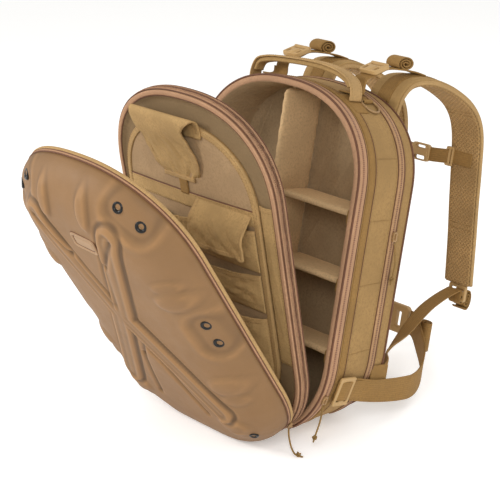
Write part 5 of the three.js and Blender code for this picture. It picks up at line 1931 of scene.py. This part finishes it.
    def lower(self, bench: Bench) -> None:
        """Make the ladder lock and the narrow strap from it down to the base."""
        foot = self.route()[-1]
        lock = np.array([foot[0], foot[1] + 1, foot[2] - SEAT - 1.5 - 13.5])
        frame = plate(
            "lock_frame", (34, 27, 6), 4, bag(lock), X_AXIS, Z_UP, [(0, 5.5, 26, 4), (0, -5.5, 26, 4)], 1.5)
        bench.hand_pair(frame, bench.finish.plastic, "plastic", "ladder_lock")
        web_y = lock[1] - 3 - SEAT - 1.2
        tail_z = 106.0
        tail_x = OUTLINE.half_at(tail_z - (BACK - 22) * tan(LEAN)) + 2.5
        points = [
            (self.x, web_y, lock[2] - 9), (self.x, web_y - 0.6, lock[2] + 4),
            (self.x + 3, web_y - 18, lock[2] + 3), (self.x + 13, web_y - 82, lock[2] - 18),
            (self.x + 27, web_y - 145, lock[2] - 56), (self.x + 46, web_y - 195, lock[2] - 76),
            (tail_x - 12, BACK + 14, tail_z + 3), (tail_x, BACK - 8, tail_z), (tail_x, BACK - 24, tail_z - 2)]
        turns = [(1, 0, 0)] * 4 + [(0.9, 0.2, 0.3), (0.6, 0.3, 0.7), (0.2, 0, 1), (0, 0, 1), (0, 0, 1)]
        web = Strap(self.web, 2.2).lay("lower_web", bag(curve_through(points, 110)), blended(turns, 110))
        bench.hand_pair(web, bench.finish.webbing, "webbing", "lower_strap")
        loop = [
            (self.x, web_y, lock[2] - 6), (self.x, web_y + 0.2, lock[2] - 14),
            (self.x, lock[1], lock[2] - 16.6), (self.x, lock[1] + 4.6, lock[2] - 14),
            (self.x, lock[1] + 5, lock[2] - 4), (self.x, lock[1] + 4.8, lock[2] + 3)]
        turn = Strap(self.web - 2, 2.0).lay("lock_loop", bag(curve_through(loop, 40)), X_AXIS)
        bench.hand_pair(turn, bench.finish.webbing, "webbing")
        roll = rolled(
            "lower_roll", bag((self.x, lock[1] + 13.4, lock[2] - 10)), X_AXIS, Z_UP, Y_BACK, (17, 9), 25.0)
        bench.hand_pair(roll, bench.finish.webbing, "webbing")
        spot = bag((tail_x + 1.4, BACK - 17, tail_z - 1))
        patch = plate("lower_patch", (34, 30, 2.4), 3, spot, Y_BACK, Z_UP, (), 0.8)
        bench.hand_pair(patch, bench.finish.webbing, "webbing")

    def sternum(self, bench: Bench) -> None:
        """Make the sternum strap and its buckle."""
        route = self.route()
        low = max(k for k in range(40, 121) if route[k][2] >= 400)
        at, up = route[low], -tangents(route)[low]
        face = at[1] - (self.thick / 2 + 1 + SEAT) / up[2] - 0.3
        points = [
            (at[0] + 16, face + 0.4, at[2]), (at[0] + 4, face - 0.3, at[2]), (at[0] - 20, face - 0.6, at[2]),
            (at[0] - 36, face - 5, at[2] - 2), (19.7, face - 9, at[2] - 4), (12, face - 9, at[2] - 4)]
        web = Strap(22, 2.0).lay("sternum_web", bag(curve_through(points, 50)), Z_UP)
        bench.hand_pair(web, bench.finish.webbing, "webbing", "sternum_strap")
        slide = plate(
            "sternum_slide", (14, 30, 4), 3, bag((at[0] - 26, face - 2.6, at[2] - 0.6)), X_AXIS, Z_UP,
            [(-3.4, 0, 2.6, 23), (3.4, 0, 2.6, 23)], 1.0)
        bench.hand_pair(slide, bench.finish.plastic, "plastic")
        middle = bag((0, face - 9, at[2] - 4))
        clip = plate(
            "sternum_frame", (37, 27, 7), 6, middle, X_AXIS, Z_UP, [(0, 8.5, 18, 4), (0, -8.5, 18, 4)], 1.6)
        core = plate("sternum_core", (30, 11, 9.5), 3, middle, X_AXIS, Z_UP, (), 2.2)
        bench.hand_in(joined("sternum_clip", [clip, core]), bench.finish.plastic, "plastic", "sternum_buckle")

    def build(self, bench: Bench) -> None:
        """Make both sides of the harness."""
        self.shoulder(bench)
        self.lifter(bench)
        self.lower(bench)
        self.sternum(bench)


@dataclass
class WaistBelt:
    """The flat webbing belt with its buckle, rolled end and the glides at its start."""

    width: float = 38.0
    thick: float = 2.5
    start: float = 27.0
    height: float = 88.0
    reach: float = 199.0
    gap: float = 33.0

    def side(self) -> float:
        """Return how far out the belt lies on the side of the bag."""
        return OUTLINE.half_at(self.height) + self.thick / 2 + 0.6

    def route(self, lift: float) -> list[Point]:
        """Return the right half's points, lifted at the middle of its loop."""
        z, back, side = self.height, BACK - 15, self.side()
        rows = ((1.005, 0.28, -9), (0.97, 0.42, -9), (0.88, 0.58, -4), (0.71, 0.76, 12), (0.48, 0.9, 31))
        route = [
            (side, self.start, z), (side, self.start + 17, z), (side, self.start + 34, z - 1),
            (side + 2.6, back - 10, z - 6)]
        route += [
            (side * out, back + self.reach * far, z + rise + lift * sin(pi * far)) for out, far, rise in rows]
        end = z + 45
        return route + [
            (self.gap + 16, back + self.reach * 0.99, end - 0.8),
            (self.gap + 1.2, back + self.reach * 1.02, end)]

    def build(self, bench: Bench) -> None:
        """Make both halves, the buckle and the glides."""
        z, side = self.height, self.side()
        slant = np.array([0.26, 0, 0.965])
        across = blended([slant] * 3 + [(0.1, 0, 1)] + [(0, 0, 1)] * 7, 140)
        for word, lift in (("right", 0.0), ("left", 12.0)):
            line = curve_through(self.route(lift), 140)
            web = Strap(self.width, self.thick).lay(f"belt_{word}", bag(line), across)
            seams = []
            run, out = sides_along(bag(line), across)
            for offset in (15.5, -15.5):
                seams.append(bag(line)[2:-2] + run[2:-2] * offset * MM + out[2:-2] * 1.3 * MM)
            if word == "left":
                twin = mirrored(web, "belt_left_web")
                bpy.data.objects.remove(web)
                web = twin
                seams = [s * np.array([-1, 1, 1]) for s in seams]
            bench.hand_in(web, bench.finish.webbing, "webbing", f"waist_belt_{word}")
            bench.stitch(
                f"belt_{word}_seams", seams[:2],
                [(out * (np.array([-1, 1, 1]) if word == "left" else 1))[2:-2]] * 2)
        line = curve_through(self.route(0), 140)
        turn = radians(-34)
        out, flat = np.array([-sin(turn), cos(turn), 0]), np.array([cos(turn), sin(turn), 0])
        spot = line[126] + out * 12.0 + np.array([0, 0, -4])
        outward, along = (bag(spot + v * METRE) - bag(spot) for v in (out, flat))
        roll = rolled("belt_roll", bag(spot), Z_UP, along, outward, (15, 10), 46.0)
        bench.hand_in(roll, bench.finish.webbing, "webbing")
        close = self.route(0)[-1]
        middle = bag((0, close[1], close[2]))
        clip = plate(
            "belt_buckle_frame", (65, 46, 10), 8, middle, X_AXIS, Z_UP, [(-13, 0, 10, 24), (13, 0, 10, 24)],
            2.4)
        core = plate("belt_buckle_core", (14, 26, 13), 4, middle, X_AXIS, Z_UP, (), 2.6)
        bench.hand_in(joined("belt_buckle", [clip, core]), bench.finish.plastic, "plastic", "waist_buckle")
        for sign, word in ((1, "right"), (-1, "left")):
            up = heading(slant * np.array([sign, 1, 1]))
            spot = (sign * (side + 3.65 * slant[2]), self.start + 12, z - 3.65 * slant[0])
            glide = plate(
                f"glide_{word}", (30, 46, 4), 3, bag(spot), Y_BACK, up, [(-7, 0, 6, 32), (7, 0, 6, 32)], 1.3)
            bench.hand_in(glide, bench.finish.plastic, "plastic", f"tri_glide_{word}")
            x = side + 1.6
            tail = [
                (x + 2.2, self.start - 4, z), (x + 4.2, self.start + 4, z), (x + 5.6, self.start + 12, z),
                (x + 4.2, self.start + 20, z), (x + 1.4, self.start + 30, z - 1),
                (x + 0.9, self.start + 52, z - 2)]
            line = np.array(tail) * np.array([sign, 1, 1]) - np.array([sign * 0.6, 0, 0])
            strap = Strap(self.width - 7, 2.0).lay(f"glide_web_{word}", bag(curve_through(line, 50)), up)
            bench.hand_in(strap, bench.finish.webbing, "webbing")


@dataclass
class TopFittings:
    """The grab handle, the D-rings with their tabs and the zip sliders."""

    left: float = -103.0
    right: float = 94.0
    y: float = 40.0
    crown: float = 522.0

    def foot(self, x: float) -> float:
        """Return the height at which the handle's foot stands."""
        return OUTLINE.top_at(abs(x) - 4.5) + SEAT + self.y * tan(LEAN) * 0.02

    def handle(self, bench: Bench) -> None:
        """Make the padded handle with its webbing."""
        left, right, y, crown = self.left, self.right, self.y, self.crown
        points = [(left, y, self.foot(left)), (left, y, self.foot(left) + 15), (left + 6, y, crown - 12),
                  (left + 22, y, crown - 6), (left * 0.3, y, crown - 1), (right * 0.4, y, crown),
                  (right - 22, y, crown - 6), (right - 5, y, crown - 15), (right, y, self.foot(right) + 10),
                  (right, y, self.foot(right))]
        line = bag(curve_through(points, 120))
        body = Strap(20, 7.6, 0.95, 0.2).lay("handle_pad", line[8:112], Y_BACK)
        bench.hand_in(body, bench.finish.strap, "webbing", "grab_handle")
        side, out = sides_along(line, np.broadcast_to(Y_BACK, line.shape))
        web = Strap(23, 2.4).lay("handle_web", line + out * 4.6 * MM, Y_BACK)
        bench.hand_in(web, bench.finish.edge, "webbing")
        rows = [line[4:-4] + out[4:-4] * 5.9 * MM + side[4:-4] * k * MM for k in (8.4, -8.4)]
        bench.stitch("handle_seams", rows, [out[4:-4]] * 2)
        for x, word in ((left, "left"), (right, "right")):
            sign = copysign(1, x)
            span = np.linspace(-16, 22, 16)
            rest = [(x + sign * s, y, OUTLINE.top_at(abs(x) + s) + 1.4) for s in span]
            base = Strap(25, 2.0).lay(f"handle_base_{word}", bag(rest), Y_BACK)
            bench.hand_in(base, bench.finish.webbing, "webbing")

    def rings(self, bench: Bench) -> None:
        """Make the D-rings and the tabs that hold them."""
        x, y, radius, wire = 105.0, 66.0, 12.0, 1.7
        slope = atan2(OUTLINE.top_at(x - 5) - OUTLINE.top_at(x + 5), 10)
        flat = (
            (-0.8, -1), (0.8, -1), (1.05, -0.6), (1, 0.2), (0.6, 0.85), (0, 1.05), (-0.6, 0.85), (-1, 0.2),
            (-1.05, -0.6))
        rise = (
            (-24, 1.2), (-16, 1.6), (-13, 4.6), (-10.4, 5.6), (-8.2, 4.4), (-8.4, 1.8), (-13, 0.7), (-24, 0.4)
        )

        def spot(sign: int, down: float, over: float, lift: float) -> Point:
            """Return a point beside a ring's foot, on the slope of the top."""
            return (sign * (x + down * cos(slope) + sin(slope) * lift), y + over,
                    OUTLINE.top_at(x) - down * sin(slope) + cos(slope) * lift)
        for sign, word in ((1, "right"), (-1, "left")):
            points = [spot(sign, b * radius, a * radius, 2.8) for a, b in (*flat, *flat[:3])]
            path = curve_through(points, 220)
            close = np.argmin(norm(path[120:] - path[20], axis=1)) + 120
            ring = bench.piping.grow(
                f"d_ring_wire_{word}", [bag(path[20:close])], bench.finish.metal, ring=True, Radius=wire * MM)
            bench.hand_in(ring, bench.finish.metal, "metal", f"d_ring_{word}")
            tab = [spot(sign, down, 0, lift) for down, lift in rise]
            strap = Strap(17, 1.4).lay(f"d_ring_tab_{word}", bag(curve_through(tab, 50)), Y_BACK)
            bench.hand_in(strap, bench.finish.webbing, "webbing")

    def slider(self, bench: Bench, name: str, centre: Array, up: Array, out: Array) -> None:
        """Make a zip slider with its bridge."""
        right = np.cross(up, out)
        body = plate(name + "_body", (8, 14, 3.6), 2.4, centre, right, up, (), 1.0)
        bridge = plate(name + "_bridge", (2.6, 9, 3.0), 1.2, centre + out * 2.4 * MM, right, up, (), 0.8)
        bench.hand_in(joined(name + "_set", [body, bridge]), bench.finish.metal, "metal", name)

    def build(self, bench: Bench) -> None:
        """Make all the fittings."""
        self.handle(bench)
        self.rings(bench)
        tilt = radians(18)
        lean_up = heading((sin(tilt), 0, cos(tilt)))
        lean_out = heading((cos(tilt), 0, -sin(tilt)))
        self.slider(bench, "main_slider", bag((OUTLINE.half_at(74) + 4.5, 9.5, 75)), lean_up, lean_out)
        self.slider(bench, "rear_slider", bag((169.4, 87.5, 309)), Z_UP, X_AXIS)
        turn, corner = radians(44), SHELL_OUTLINE.corner
        reach = corner + 4.0
        across = SHELL_OUTLINE.half_width - corner + reach * cos(turn)
        centre = SHELL.place(across, corner - reach * sin(turn), -4)
        out = SHELL.heading(cos(turn), -sin(turn))
        along = SHELL.heading(sin(turn), cos(turn))
        self.slider(bench, "shell_slider", centre, along, out)


def main() -> None:
    """Build the sub-assemblies in order and report each piece."""
    logging.basicConfig(level=logging.INFO, format="%(name)s: %(message)s")
    view = Viewpoint()
    view.aim()
    bench = Bench()
    ZipPulls().build(bench)
    ShellLeaf().build(bench)
    OrganizerLeaf().build(bench)
    MainCase().build(bench)
    RearPanel().build(bench)
    Harness().build(bench)
    WaistBelt().build(bench)
    TopFittings().build(bench)
    view.light()
    LOG.info("%d pieces", bench.count)
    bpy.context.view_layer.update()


if __name__ == "__main__":
    main()
